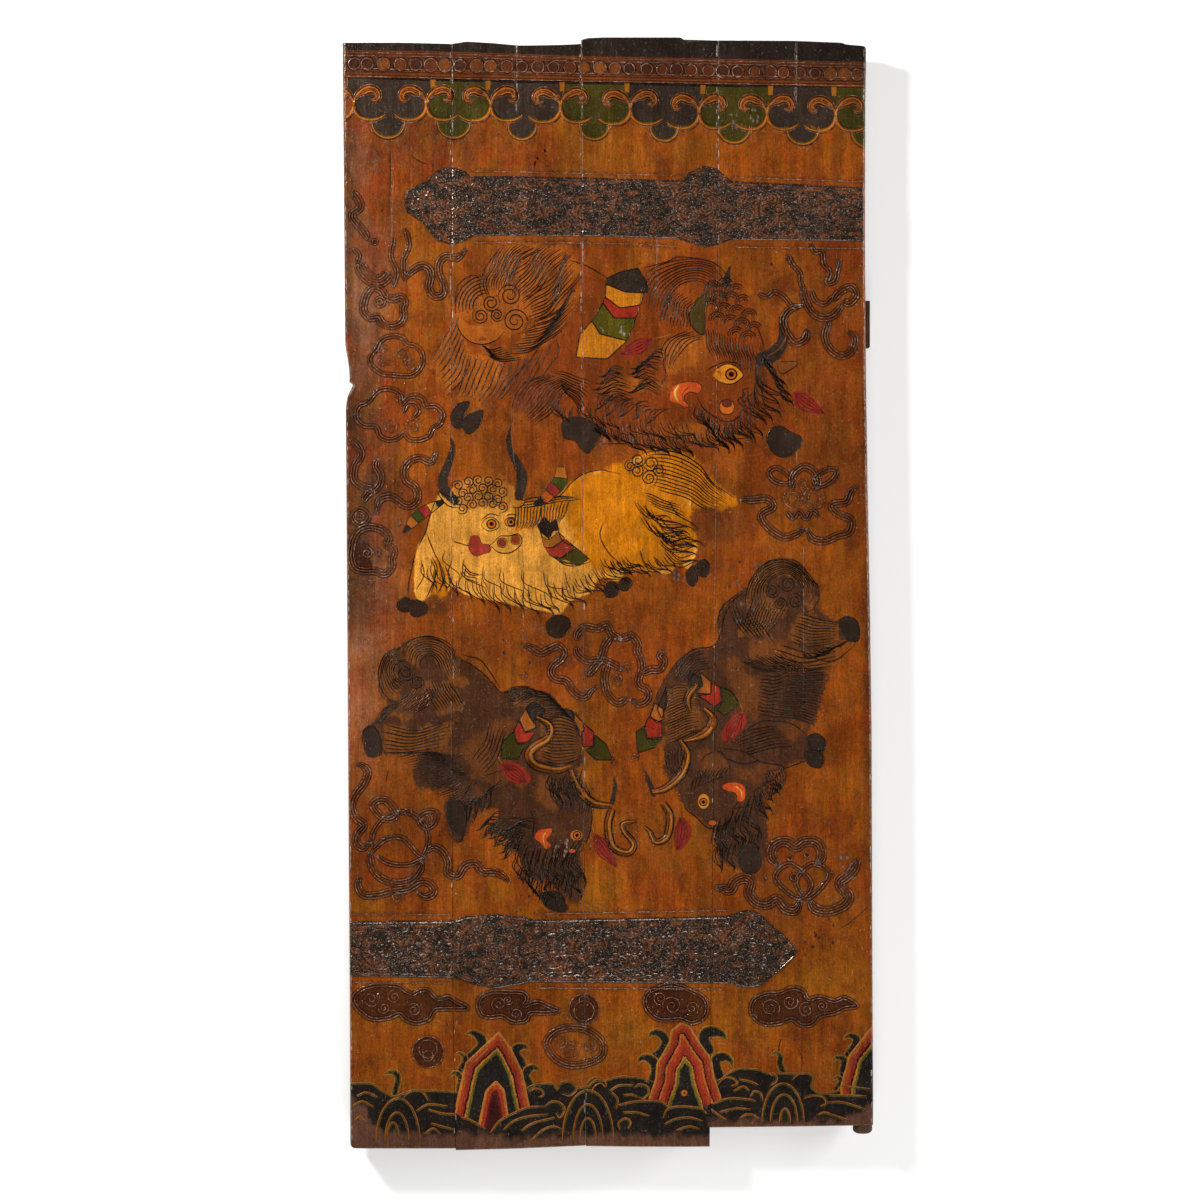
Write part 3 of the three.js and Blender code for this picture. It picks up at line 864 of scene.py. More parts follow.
def raised_gesso():
    """Chalk and glue piped on in lines and varnished over.

    The sides stay dark brown, and the tops are paler brown with pale flecks: painted highlights along the
    crests, partly chalk showing where they are rubbed.
    """
    material, tree = new_material("piped_gesso")
    flat = drawn_out(tree, 1.0)
    crest = node(tree, STORED, output="Fac", attribute_name="crest")
    # Masks for the paler brown and the pale flecks on the ridge tops: painted highlights, partly rubbed chalk
    worn = []
    for at, size, limits in ((0.3, 13, (0.36, 0.62)), (0.6, 6, (0.52, 0.60))):
        high = node(tree, RANGE, {"Value": crest, "From Min": at, "From Max": 0.95}, "Result")
        spots = uneven(tree, flat, size, 0, 1, 4, 0.7, limits)
        worn.append(node(tree, SUM, {0: high, 1: spots}, operation="MULTIPLY"))
    colour = laid_over(tree, "#64331A", (
        (uneven(tree, flat, 16, 0, 0.8, 5, 0.7), "#743E1A"), (worn[0], "#86583E"), (worn[1], "#D0C0B6")))
    varnished(tree, aged(tree, colour, 0.5), (0.05, 0.14), 0.1, 1.0, 1.0)
    return material


def bare_softwood():
    """Planed and weathered softwood without paint: grey-brown, matt, with open grain along the board."""
    material, tree = new_material("bare_weathered_softwood")
    grain = drawn_out(tree, 30)
    colour = laid_over(tree, "#45301F", (
        (uneven(tree, grain, 9, 0, 1, 4), "#664730"), (uneven(tree, grain, 1.8, 0, 1, 5, 0.7), "#33231A")))
    varnished(tree, aged(tree, colour, 0.8), (0.6, 0.85), 1.6, 0.2)
    return material


def strap_gesso():
    """The gesso of the painted straps: black over chalk, brown in the hollows between its scrolls, sparse
    pale flecks as painted glints.
    """
    material, tree = new_material("black_scrolled_gesso")
    flat = drawn_out(tree, 0.6)
    ridge = node(tree, STORED, output="Fac", attribute_name="scroll")
    hollow = node(tree, RANGE, {"Value": ridge, "From Min": 0.25, "From Max": 0.65, "To Min": 1,
                                "To Max": 0.1}, "Result")
    spots = uneven(tree, flat, 22, 0, 1, 5, 0.7, (0.46, 0.58))
    colour = laid_over(tree, "#261D18", (
        (node(tree, SUM, {0: hollow, 1: spots}, operation="MULTIPLY"), "#804420"),
        (uneven(tree, flat, 5, 0, 0.7, 4, 0.7, (0.50, 0.60)), "#524139"),
        # Sparse pale flecks: painted glints on the black gesso
        (uneven(tree, flat, 3.0, 0, 1.0, 3, 0.6, (0.63, 0.66)), "#C4B2A4")))
    varnished(tree, aged(tree, colour, 0.6), (0.05, 0.15), 0.1, 1.1, 0.9)
    return material


PAINTED_WOOD = varnished_paint_on_wood()
BARE_WOOD = bare_softwood()
BRUSHED_PAINT = thick_paint()
PIPED_GESSO = raised_gesso()
STRAP_GESSO = strap_gesso()


# The head of the leaf: bare band, row of beads and scrolled valance

HEAD_LINE = ((342, 50.4), (452, 52), (590, 56.6), (662, 57.6), (870, 62.3))
BEAD_LINE = ((342, 63.5), (608, 68.2), (870, 74.8))
BEAD_FOOT_LINE = ((342, 75.4), (452, 78), (601, 81), (730, 83.4), (870, 85.4))
BEAD_PITCH = 15.4
BEAD_RADIUS = 6.0
LAST_BEAD = 857.0
BARS = ((345, 83), (433, 82.5), (488, 84), (562, 85.5), (627, 87), (703, 88.5), (770.5, 90), (834, 92))
LOBES = ((353.5, 105), (426.4, 105.3), (490.7, 106), (560.4, 107.5), (630.4, 109.5), (699, 113.5),
         (767, 114.5), (835.7, 116))
DROPS = ((388.4, 121.6, 16.4), (454, 121.7, 16.3), (522.2, 125.8, 13.8), (594.5, 124.8, 14.5),
         (664.5, 127.3, 13.8), (734.4, 127.5, 15.4), (803, 128.3, 16), (868, 131, 16))
PAST_HINGE_EDGE = ((905, 118), 905)
LOBE_RADIUS = 14.8
VOLUTE_RADIUS, VOLUTE_CLOSING, VOLUTE_TURN, VOLUTE_BAND = 20.5, 0.315, 5.9, 11.4


def head_line(x):
    """The lower edge of the bare band at the head, at a layout x."""
    return np.interp(x, *np.array(HEAD_LINE).T)


def bead_row():
    """A row of small raised rings in a dark band, between streaky painted lines."""
    head, foot = np.array(HEAD_LINE, float), np.array(BEAD_FOOT_LINE, float)
    area("band", np.vstack((head, foot[::-1])))
    for spine, step, width, colour in ((head, 0.5, 2.6, "#7A3814"), (head, 3.4, 2.2, "#6A3012"),
                                       (foot, -5.5, 2.2, "#7A3814"), (foot, -2.4, 4.6, "#864216")):
        line(spine + (0, step), width, colour)
    for spine, step in ((head, 2.0), (head, 5.0), (foot, -7.5), (foot, 0.4)):
        gesso(spine + (0, step), 2.0, 0.7)
    line(foot + (0, 2.0), 4.6, INK)
    rng = np.random.default_rng(4)
    for x in np.arange(353, 866, BEAD_PITCH):
        x = min(x + rng.uniform(-1.5, 1.5), LAST_BEAD)
        radius = BEAD_RADIUS * rng.uniform(0.85, 1.08)
        y = np.interp(x, *np.array(BEAD_LINE).T)
        gesso(ring(x, y, radius), 2.6, 1.4, raw=True)
        line(ring(x, y, radius + 1.3), 1.4, "#1E120D", raw=True)
        disc(x, y, radius - 0.6, rng.choice(("#6E3618", "#5E2E18", "#784018", "#452418")), lift=0.1)


def volute(x, y, hand):
    """A cloud scroll: a band between two logarithmic spirals that rises from the touch point and turns in."""
    turn = np.linspace(0, VOLUTE_TURN, 40)
    centre = np.array((x - hand * (LOBE_RADIUS + 5.5), y - 7.5))
    reach = VOLUTE_RADIUS * np.exp(-VOLUTE_CLOSING * turn)
    path = centre + np.column_stack((hand * reach * np.cos(turn), -reach * np.sin(turn)))
    band = VOLUTE_BAND * np.minimum(1, 0.35 + turn) * (1 - 0.68 * turn / VOLUTE_TURN)
    fill = beside(path, hand * 0.5 * band[:, None])
    line(fill, 0.95 * band * PIXEL, "#824012", start=1, end=1, lift=0.16, raw=True)
    for share in (0.28, 0.72):
        line(beside(path, hand * share * band[:, None]), 2.6, "#BC661C", lift=0.3, raw=True)
    for share in (0, 0.5, 1):
        gesso(beside(path, hand * share * band[:, None]), 2.2, 1.5, raw=True)


def hem(curve, width, colour):
    """The painted edge of a lobe: a crescent, widest in its middle, with a paler line along it."""
    swell = np.sin(math.pi * np.linspace(0.06, 0.97, len(curve))) ** 0.8
    line(curve, width * swell, colour, start=1, end=1, lift=0.3, raw=True)
    line(curve, 0.35 * width * swell, "#C87C20", start=1, end=1, lift=0.38, raw=True)


def valance():
    """Hanging cloud scrolls: panels of black and green by turns, with lobed edges outlined in orange."""
    tops = np.array(BEAD_FOOT_LINE, float)
    for k, (x, y, radius) in enumerate(DROPS):
        left, bar = LOBES[k], BARS[k][0]
        right, next_bar = (LOBES[k + 1], BARS[k + 1][0]) if k + 1 < len(LOBES) else PAST_HINGE_EDGE
        a, b = left[0] + LOBE_RADIUS, right[0] - LOBE_RADIUS
        top = np.interp((next_bar, bar), *tops.T) + 2
        edge = np.vstack(((next_bar, top[0]), (next_bar, top[0] + 10), arc(b, right[1], LOBE_RADIUS, 0, -150),
                          arc(x, y, radius, -5, -175), arc(a, left[1], LOBE_RADIUS, 330, 180),
                          (bar, top[1] + 10), (bar, top[1])))
        area(("black", "moss")[k % 2], edge)
        curve = arc(x, y, radius, 8, -188)
        hem(curve, 4.2, "#9E5218")
        line(beside(curve, 1.8), 1.2, lift=0.2, raw=True)
        gesso((curve - (x, y)) * 1.15 + (x, y), 1.8, 0.8, raw=True)
        line((curve - (x, y)) * 0.9 + (x, y), 1.5, "#5A5214", raw=True)
    share = np.linspace(0, 1, 32)
    angle = np.radians(60 - 212 * share)
    reach = LOBE_RADIUS + 4.5 * np.clip((share - 0.7) / 0.3, 0, 1) ** 1.5
    for k, (x, y) in enumerate(LOBES):
        for hand in (1, -1):
            across = x + hand * (reach * np.cos(angle) - LOBE_RADIUS)
            curve = np.column_stack((across, y - reach * np.sin(angle)))
            hem(curve, 6.2, "#B25A16")
            line(beside(curve, 2.4), 1.3, lift=0.2, raw=True)
            gesso(curve + (0, 2.2), 1.7, 0.7, raw=True)
            line(curve - (0, 1.8), 1.6, "#5A5214", raw=True)
            volute(x, y, hand)
        bar = BARS[k][0]
        top = np.interp(bar, *tops.T) + 2
        tongue = ((bar - 2.6, top), (bar + 2.6, top), (bar + 2.2, top + 9), (bar - 2.2, top + 9))
        patch(tongue, "#9C5C18", 0.3, smoothed=False)


bead_row()
valance()


# The scrolled straps, painted and modelled to look like iron bands

UPPER_STRAP = {
    "top": ((403.5, 201.5), (407, 191), (415, 186), (424.6, 181.6), (430, 177), (437, 170), (451.4, 166.4),
        (465.7, 171), (471, 177), (474, 176), (520, 175.8), (600, 177.5), (655, 179.5), (683, 179.8),
        (688, 172.5), (703.6, 165.5), (716, 168), (728.6, 178), (732, 181), (800, 184), (863.4, 187)),
    "bottom": ((403.5, 202.5), (407, 213), (423, 223.6), (428, 230.7), (437, 241.4), (451.4, 245),
        (465.7, 241.4), (473, 236), (520, 236), (600, 236.5), (678, 239), (689, 243), (705, 247.7),
        (723, 243), (732, 240), (863.4, 241.4)),
    "roundels": ((451, 205.5, 26), (487, 207, 15), (520, 205, 17), (556, 207, 15), (582, 207, 13),
        (605, 207.5, 12), (634, 207.5, 19), (705, 206.6, 31), (778.6, 209, 20), (811, 211, 20),
        (850, 213, 20)),
    "borders": (((473, 171), (600, 173.6), (680, 175.5)), ((733, 177), (800, 179.5), (863, 181.6)),
        ((474, 242.3), (600, 243.2), (676, 246)), ((735, 247), (863, 248.6))),
}
LOWER_STRAP = {
    "top": ((349.5, 921), (455, 920), (465, 916), (480, 914.5), (494, 914), (510, 914.5), (525, 917),
        (534, 919.5), (610, 918), (725, 915.7), (734, 914), (743, 910.4), (752, 909.5), (760.7, 914),
        (768, 921), (778.6, 930), (789, 939), (797, 949)),
    "bottom": ((349.5, 976.4), (455, 978), (470, 984), (494, 989), (518, 985), (530, 982), (610, 982.7),
        (728.6, 983.6), (736, 985.4), (748, 988), (761, 986), (771, 978), (780, 971), (793, 958.6),
        (797, 950.2)),
    "roundels": ((382, 948, 21), (419, 948, 16), (494, 951, 34), (553, 950, 18), (590, 950, 16),
        (628, 950, 20), (668, 950, 16), (705, 950, 18), (752, 949, 28)),
    "borders": (((350, 914), (452, 914.5)), ((536, 914), (610, 912.5), (728, 910.5)),
        ((350, 982.5), (452, 983)), ((536, 988), (610, 988.5), (724, 989))),
}
STRAP_CELL = 1.5
STRAP_RISE, STRAP_CLEAR, STRAP_SUNK, STRAP_SHOULDER = 1.2, 0.1, 0.9, 2.0
STRAP_RIM = ((2.6, 1.5, 1.0), (7.4, 1.2, 0.8))
STRAP_FIELD, STRAP_FADE = 9.0, 3.0
SCROLL_PITCH_PX = 3.4
SCROLL_RISE = 1.3


def scroll_relief(x, y, strap, seed):
    """The height of the scrollwork, from 0 to 1, at layout places.

    Each point belongs to the nearest centre of a loose hexagonal net, and its height is the cosine ridge of a
    spiral about that centre. Roundels have smaller centres in a circle, and a ring round them.
    """
    rng = np.random.default_rng(seed)
    low, high = x.min(), x.max()
    net = []
    for row, at_y in enumerate(np.arange(y.min() + 6, y.max(), 10.5)):
        for at_x in np.arange(low + 6 * (row % 2), high, 12.0):
            net.append((at_x + rng.uniform(-1.5, 1.5), at_y + rng.uniform(-1.5, 1.5), rng.uniform(5.5, 7.5)))
    net = [c for c in net if all(math.hypot(c[0] - r[0], c[1] - r[1]) > r[2] + 1 for r in strap["roundels"])]
    for at_x, at_y, radius in strap["roundels"]:
        count = int(radius / 3.2)
        for k in range(count):
            turn = 2 * math.pi * k / count
            net.append((at_x + 0.62 * radius * math.cos(turn), at_y + 0.62 * radius * math.sin(turn),
                        0.3 * radius))
        net.append((at_x, at_y, radius * 0.34))
    net = np.array(net)
    hand = np.where(rng.uniform(size=len(net)) < 0.5, 1, -1)
    dx, dy = x[:, None] - net[:, 0], y[:, None] - net[:, 1]
    distance = np.hypot(dx, dy)
    nearest = np.argmin(distance / net[:, 2], axis=1)
    rows = np.arange(len(x))
    reach, turn = distance[rows, nearest], np.arctan2(dy[rows, nearest], dx[rows, nearest])
    phase = reach / SCROLL_PITCH_PX - hand[nearest] * turn / (2 * math.pi) + 0.3 * nearest
    ridge = 0.5 + 0.5 * np.cos(2 * math.pi * phase)
    for at_x, at_y, radius in strap["roundels"]:
        off = np.abs(np.hypot(x - at_x, (y - at_y) * 1.05) - radius)
        band = np.exp(-(off / 1.3) ** 2)
        ridge = np.maximum(ridge * (1 - np.exp(-(off / 3.0) ** 2)), band)
    return ridge


def strap(name, outline, seed):
    """A raised plate between two edge curves, with a shallow shoulder, a ridged rim and scrolls."""
    top, bottom = np.array(outline["top"]), np.array(outline["bottom"])
    length = (top[-1, 0] - top[0, 0]) * PIXEL
    x = np.linspace(top[0, 0], top[-1, 0], int(length / STRAP_CELL))[:, None]
    tall = np.abs(bottom[:, 1].max() - top[:, 1].min()) * PIXEL
    v = np.linspace(0, 1, int(tall / STRAP_CELL))[None, :]
    y_top, y_bottom = np.interp(x, *top.T), np.interp(x, *bottom.T)
    y = y_top + (y_bottom - y_top) * v
    x = np.broadcast_to(x, y.shape)
    inward = np.minimum(v, 1 - v) * (y_bottom - y_top) * PIXEL
    ends = (x - x[0, 0]) * PIXEL if outline is UPPER_STRAP else (x[-1, 0] - x) * PIXEL
    inward = np.minimum(inward, ends + 1.0)
    ridge = scroll_relief(x.ravel(), y.ravel(), outline, seed).reshape(x.shape)
    field = np.clip((inward - STRAP_FIELD) / STRAP_FADE, 0, 1)
    edges = sum(rise * np.exp(-((inward - at) / wide) ** 2) for at, wide, rise in STRAP_RIM)
    ridge = ridge * field + edges * (1 - field)
    flat = on_leaf(np.stack((x, y), axis=2))
    rise = face_rise(flat[..., 0], flat[..., 1])
    shoulder = STRAP_RISE * np.sin(np.clip(inward / STRAP_SHOULDER, 0, 1) * math.pi / 2)
    z = FACE_Z + rise + STRAP_CLEAR + shoulder + SCROLL_RISE * ridge * np.clip(inward / 1.5, 0, 1)
    face = np.dstack((flat, z))
    under = face[:, (0, -1)] - (0, 0, STRAP_SUNK)
    skin = np.concatenate((face, under[:, 1:], under[:, :1]), axis=1)
    faces = skin_faces(np.arange(skin.size // 3).reshape(len(skin), -1))
    piece = new_piece(name, skin.reshape(-1, 3), faces, (STRAP_GESSO,))
    give_numbers(piece, "scroll", np.concatenate((ridge, np.zeros((len(ridge), 2))), axis=1))


def strap_borders(outline):
    """The brown strip along a strap, between two thin dark raised lines."""
    for border in outline["borders"]:
        gesso(border, 2.6, 0.8)
        soot(smooth(border), 1.5)


strap_borders(UPPER_STRAP)
strap_borders(LOWER_STRAP)


# Small things that the yaks share

# The hoof colour is dark paint lightened by a painted varnish sheen
def hooves(outlines, colour="#362820"):
    """Cloven hooves, dark areas with ink edges."""
    for outline in outlines:
        inked(outline, colour, 0.22, 1.3)


def tassel(outline, cord):
    """A tassel of dyed hair on a cord, with darker strands drawn along it."""
    patch(outline, MAROON, 0.24)
    edge = np.array(outline, float)
    root, tip = np.array(cord[-1], float), edge[np.argmax(np.hypot(*(edge - cord[-1]).T))]
    middle = edge.mean(axis=0)
    for pull in (-0.62, -0.3, 0.0, 0.3, 0.62):
        side = np.array((-(tip - root)[1], (tip - root)[0])) * pull * 0.3
        line((root, middle + side, tip), 1.3, "#5A1518", lift=0.32)
    line(cord, 1.8, "#A0682C")


def horn(points, widths):
    """A black horn: a tapered stroke."""
    stroke_area("black", points, widths)


def spirals(places, width, turns):
    """A group of drawn curls: (x, y, radius) each, turning alternately left and right."""
    for k, (x, y, radius) in enumerate(places):
        line(spiral(x, y, radius, turns, 60 + 75 * k, 1 if k % 2 else -1), width, raw=True)


def scallops(places, radius, rings, width):
    """Overlapping locks drawn as nested arcs."""
    for k, (x, y) in enumerate(places):
        for j in range(rings):
            line(arc(x, y, radius * (1 - 0.27 * j), 10 + 12 * (k % 3), 190), width, raw=True)


def locks(groups, first_seed=10, under="glow"):
    """Combs of hair, (guide, guide, distance between strands, height of wave) each, warm under long hair."""
    for k, (name, (first, last, gap, *wave)) in enumerate(groups.items()):
        comb(first, last, 1.2 * gap, 2.0, wave[0] if wave else 0.7, first_seed + k)
        if name.startswith(("tail", "leg", "mane")):
            area(under, np.vstack((smooth(first), smooth(last)[::-1])))


def fringes(rows, first_seed, width=1.6):
    """Rows of tufts: (line of roots, first and last reach, distance between tufts, strands) each."""
    for k, (base, reach, wide, strands) in enumerate(rows):
        tufts(base, reach, wide, strands, width, first_seed + k)


# The first yak: brown, head down to the right, with its tail thrown up

YAK_ONE_BODY = ((456, 312), (457, 290), (473, 275), (485, 272), (489, 262), (505, 244), (568, 244),
    (569, 260), (587, 266), (607, 278), (638, 268), (666, 262), (679, 257), (700, 259), (716, 264),
    (728, 278), (742, 290), (752, 305), (757, 325), (764, 350), (774, 370), (779, 392), (786, 410),
    (799, 430), (790, 448), (770, 430), (752, 434), (735, 430), (716, 441), (696, 444), (671, 449),
    (636, 444), (600, 443), (575, 430), (560, 415), (545, 402), (528, 417), (510, 402), (485, 424),
    (470, 404), (440, 396), (428, 384), (430, 358), (445, 330))
YAK_ONE_PALE = (
    ((660, 352), (672, 338), (690, 334), (706, 340), (716, 352), (708, 366), (690, 372), (668, 376)),
    ((600, 380), (640, 372), (668, 380), (650, 392), (610, 392)),
    ((440, 345), (452, 350), (462, 376), (450, 392), (434, 385)),
    ((470, 380), (510, 372), (500, 400), (480, 415)),
    ((640, 425), (690, 420), (720, 436), (680, 445), (640, 440)),
    ((540, 378), (560, 372), (590, 380), (560, 396)))
YAK_ONE_BRIGHT = (
    ((664, 352), (674, 338), (692, 334), (708, 340), (710, 352), (700, 364), (684, 366), (668, 372)),
    ((600, 386), (620, 378), (650, 380), (664, 386), (640, 392), (610, 392)),
    ((672, 430), (700, 424), (730, 434), (700, 440)))
YAK_ONE_SADDLE = {
    "black": (((607, 278), (620, 272), (638, 268), (650, 289), (644, 293), (625, 292), (606, 284)),),
    "yellow": (((606, 284), (625, 292), (644, 293), (640, 305), (620, 308), (605, 297)),
        ((592, 321), (600, 334), (627, 341), (607, 359), (576, 357), (580, 334))),
    "red": (((605, 297), (620, 308), (640, 305), (636, 318), (614, 318), (603, 303)),),
    "green": (((603, 303), (614, 318), (636, 318), (627, 341), (600, 334), (592, 321)),),
}
YAK_ONE_LINES = {
    "tail edge": ((484, 300), (480, 284), (489, 262), (505, 243)),
    "back": ((569, 260), (587, 266), (607, 278)),
    "crown": ((643, 268), (666, 262), (679, 257), (700, 259), (716, 264), (725, 273), (729, 280)),
    "curl edge": ((455, 314), (457, 287), (473, 275), (482, 282)),
    "brow": ((757, 325), (764, 350), (758, 378)),
    "muzzle": ((697, 396), (704, 409), (723, 421), (736, 419), (743, 407), (747, 398), (755, 391),
        (758, 378)),
    "nose": ((743, 407), (738, 400), (745, 395), (742, 390), (750, 388)),
    "upper lid": ((706, 371), (714, 366), (726, 362), (738, 364), (743, 372)),
    "ear": ((709, 292), (695, 302), (689, 318), (695, 330), (704, 334), (705, 315), (709, 292)),
    "cheek": ((670, 352), (663, 362), (666, 375), (658, 388)),
    "belly": ((600, 444), (636, 444), (671, 449), (696, 444)),
    "thigh": ((556, 338), (558, 352), (545, 372), (540, 380)),
    "haunch": ((540, 345), (530, 360), (512, 380), (498, 400)),
    "mouth": ((670, 396), (673, 387), (682, 383), (696, 382), (701, 387), (698, 393), (689, 392),
        (684, 396), (684, 401), (689, 406), (686, 407), (679, 404), (671, 401), (670, 396)),
}
YAK_ONE_LOCKS = {
    "tail left": (((488, 298), (484, 280), (492, 260), (508, 243)),
        ((508, 290), (514, 272), (530, 256), (545, 243)), 2.4, 2.2),
    "tail middle": (((508, 290), (514, 272), (530, 256), (545, 243)),
        ((522, 302), (541, 286), (558, 268), (573, 247)), 2.4, 2.6),
    "tail right": (((522, 302), (541, 286), (558, 268), (573, 247)),
        ((528, 323), (550, 312), (566, 297), (580, 272)), 2.4, 2.6),
    "tail low": (((528, 325), (550, 314), (566, 299), (580, 280)),
        ((506, 354), (532, 350), (554, 338), (570, 316)), 2.4, 2),
    "tail fringe": (((480, 344), (490, 349), (506, 347)), ((488, 356), (506, 362), (528, 357)), 2.4),
    "leg back": (((457, 312), (446, 336), (428, 362)), ((470, 352), (462, 378), (446, 398)), 5),
    "leg front": (((472, 354), (464, 378), (455, 398)), ((506, 360), (496, 384), (480, 408)), 4.6),
    "haunch fringe": (((512, 362), (504, 382), (488, 402)), ((552, 344), (536, 372), (514, 402)), 5.4),
    "belly tuft": (((552, 374), (534, 378), (518, 392), (508, 412)),
        ((574, 384), (562, 396), (550, 412), (534, 428)), 2.3, 1.4),
    "belly right": (((552, 372), (572, 374), (594, 384)), ((560, 386), (574, 402), (584, 420)), 2.4, 1.2),
    "throat": (((690, 330), (674, 336), (662, 350), (664, 366)),
        ((706, 338), (688, 344), (676, 358), (672, 374)), 2.8, 1.2),
    "hump": (((640, 304), (646, 276), (664, 263), (690, 258), (716, 265), (730, 284)),
        ((664, 322), (668, 300), (680, 286), (700, 281), (716, 290)), 2.4, 1.2),
    "shoulder": (((660, 322), (666, 300), (678, 290)), ((690, 330), (690, 312), (698, 300)), 2.6, 1.2),
    "neck": (((700, 304), (702, 292), (708, 282)), ((726, 304), (726, 292), (724, 280)), 2.4),
    "forelock": (((704, 326), (708, 344), (712, 360)), ((752, 344), (755, 360), (757, 376)), 2.4, 1.2),
}
YAK_ONE_FRINGES = ((((600, 426), (640, 438), (690, 436), (736, 424)), ((10, 16), (14, 18)), 12, 6),
    (((584, 404), (630, 424), (680, 424)), ((8, 18), (14, 14)), 15, 4),
    (((556, 404), (574, 412), (600, 424)), ((6, 20), (12, 16)), 12, 4),
    (((700, 408), (726, 424), (752, 414)), ((6, 26), (12, 26)), 8, 5),
    (((748, 398), (758, 392), (762, 372)), ((20, 32), (26, 34)), 9, 5),
    (((656, 392), (652, 376), (660, 356)), ((-26, -2), (-20, 6)), 9, 5),
    (((628, 398), (622, 384), (624, 372)), ((-26, 0), (-28, 4)), 9, 4),
    (((660, 410), (640, 404), (612, 398)), ((-16, 14), (-20, 12)), 14, 4),
    (((764, 352), (774, 366), (780, 384)), ((12, 22), (14, 28)), 8, 4))
YAK_ONE_CURLS = ((491, 303, 9.5), (480.5, 316, 8.5), (510, 295.5, 12), (515, 321, 13.5), (497, 315, 7))
YAK_ONE_FORELOCK = ((713, 289), (725, 286), (736, 292), (719, 299), (731, 300), (743, 303), (711, 307),
    (724, 311), (737, 313), (749, 317), (717, 320), (730, 323), (742, 326), (754, 330), (736, 335),
    (748, 339))
YAK_ONE_HOOVES = (((470, 402), (459, 403), (451, 414), (453, 426), (462, 428), (463, 418)),
    ((483, 410), (468, 415), (462, 423), (468, 434), (480, 425)),
    ((561, 424), (568, 418), (580, 417), (592, 422), (602, 430), (598, 440), (589, 453), (581, 449),
     (575, 441), (564, 438)),
    ((766, 437), (772, 428), (781, 426), (791, 432), (801, 437), (801, 445), (792, 455), (780, 457),
     (770, 449)))
YAK_ONE_TASSELS = ((((652, 339), (643, 337), (632, 344), (620, 355), (636, 356), (648, 348)),
     ((672, 334), (662, 337), (652, 339))),
    (((794, 392), (802, 392), (814, 401), (825, 414), (812, 413), (800, 409), (793, 400)),
     ((782, 375), (787, 384), (794, 392))))


def saddle(cloths):
    """A saddle cloth of plain coloured bands with ink between them."""
    for layer, outlines in cloths.items():
        for outline in outlines:
            area(layer, outline)
            edge = np.array(outline + outline[:1], float)
            line(resampled(edge, STEP_PX), 1.8, start=1, end=1, raw=True)


def round_eye(x, y, radius, iris=ORANGE):
    """The middle of an eye: a dark rim, a coloured iris and a black pupil."""
    disc(x, y, radius, INK, lift=0.34)
    disc(x, y, radius * 0.76, iris, lift=0.40)
    disc(x, y, radius * 0.45, INK, lift=0.46)


def yak_one():
    """The brown yak at the top."""
    area("brown_coat", YAK_ONE_BODY, smoothed=True)
    for outline in YAK_ONE_PALE:
        area("rubbed", outline, smoothed=True)
    crescent = np.vstack((arc(481.8, 319.3, 25, 180, 360), ((500, 321), (488, 327), (470, 325), (460, 317))))
    patch(crescent, "#AC5A1A", 0.2, smoothed=False)
    line(arc(481.8, 319.3, 25, 175, 330), 1.8, raw=True)
    for radius in (31, 27.5, 24, 20.5, 17, 13.5):
        line(arc(486.4, 306.8, radius, 192, 84), 2.3, raw=True)
    area("lit", np.vstack((arc(486.4, 306.8, 31, 195, 84), arc(500, 306, 30, 60, -80))))
    for outline in YAK_ONE_BRIGHT:
        area("lit", outline, smoothed=True)
    saddle(YAK_ONE_SADDLE)
    lines(YAK_ONE_LINES.values(), width=1.8)
    locks(YAK_ONE_LOCKS, under="lit")
    fringes(YAK_ONE_FRINGES, 400, 1.4)
    spirals(YAK_ONE_CURLS, 2.2, 2.4)
    scallops(YAK_ONE_FORELOCK, 8.2, 3, 1.9)
    hooves(YAK_ONE_HOOVES)
    for outline, cord in YAK_ONE_TASSELS:
        tassel(outline, cord)
    patch(YAK_ONE_LINES["ear"][:-1], "#4E3B16", 0.2)
    horn(((792, 307), (783, 320), (783, 340), (775, 353), (762, 360)), (1, 6, 10, 14, 15))
    line(((786, 322), (786, 338), (778, 350), (766, 357)), 4.6, "#6A3A1C", lift=0.24)
    patch(((774, 362), (798, 362), (786, 372), (778, 374)), "#8A4A1E", 0.2, smoothed=False)
    horn(((730.4, 265), (728, 274), (726, 284)), (1, 5, 8))
    line(((776, 362), (798, 362.5), (782, 374), (776, 362)), 1.6)
    eye = ((713, 374), (721, 366), (730, 364), (739, 369), (743, 376), (733, 383.5), (723, 383), (716, 379))
    inked(eye, "#E08A20", 0.26, 1.6, 0.36)
    disc(718, 374.5, 3.4, "#C8541C", tall=4.5, lift=0.32)
    round_eye(731.3, 374.3, 6.2, "#C8641A")
    patch(YAK_ONE_LINES["mouth"][:-1], "#CF5320", 0.26)
    line(((679, 385), (675, 393), (678, 402)), 4.5, "#E3B045", lift=0.34)
    line(((690, 386), (683, 393), (683, 401)), 1.6, "#7A2A16", lift=0.4)
    disc(726.8, 407, 7.2, "#D06A22", lift=0.26)
    disc(726.8, 403.5, 5.4, "#6E2A18", tall=4, lift=0.34)
    line(ring(726.8, 407, 7.6), 1.5, lift=0.4, raw=True)


# The second yak: yellow, head turned to face us, with its tail out to the right

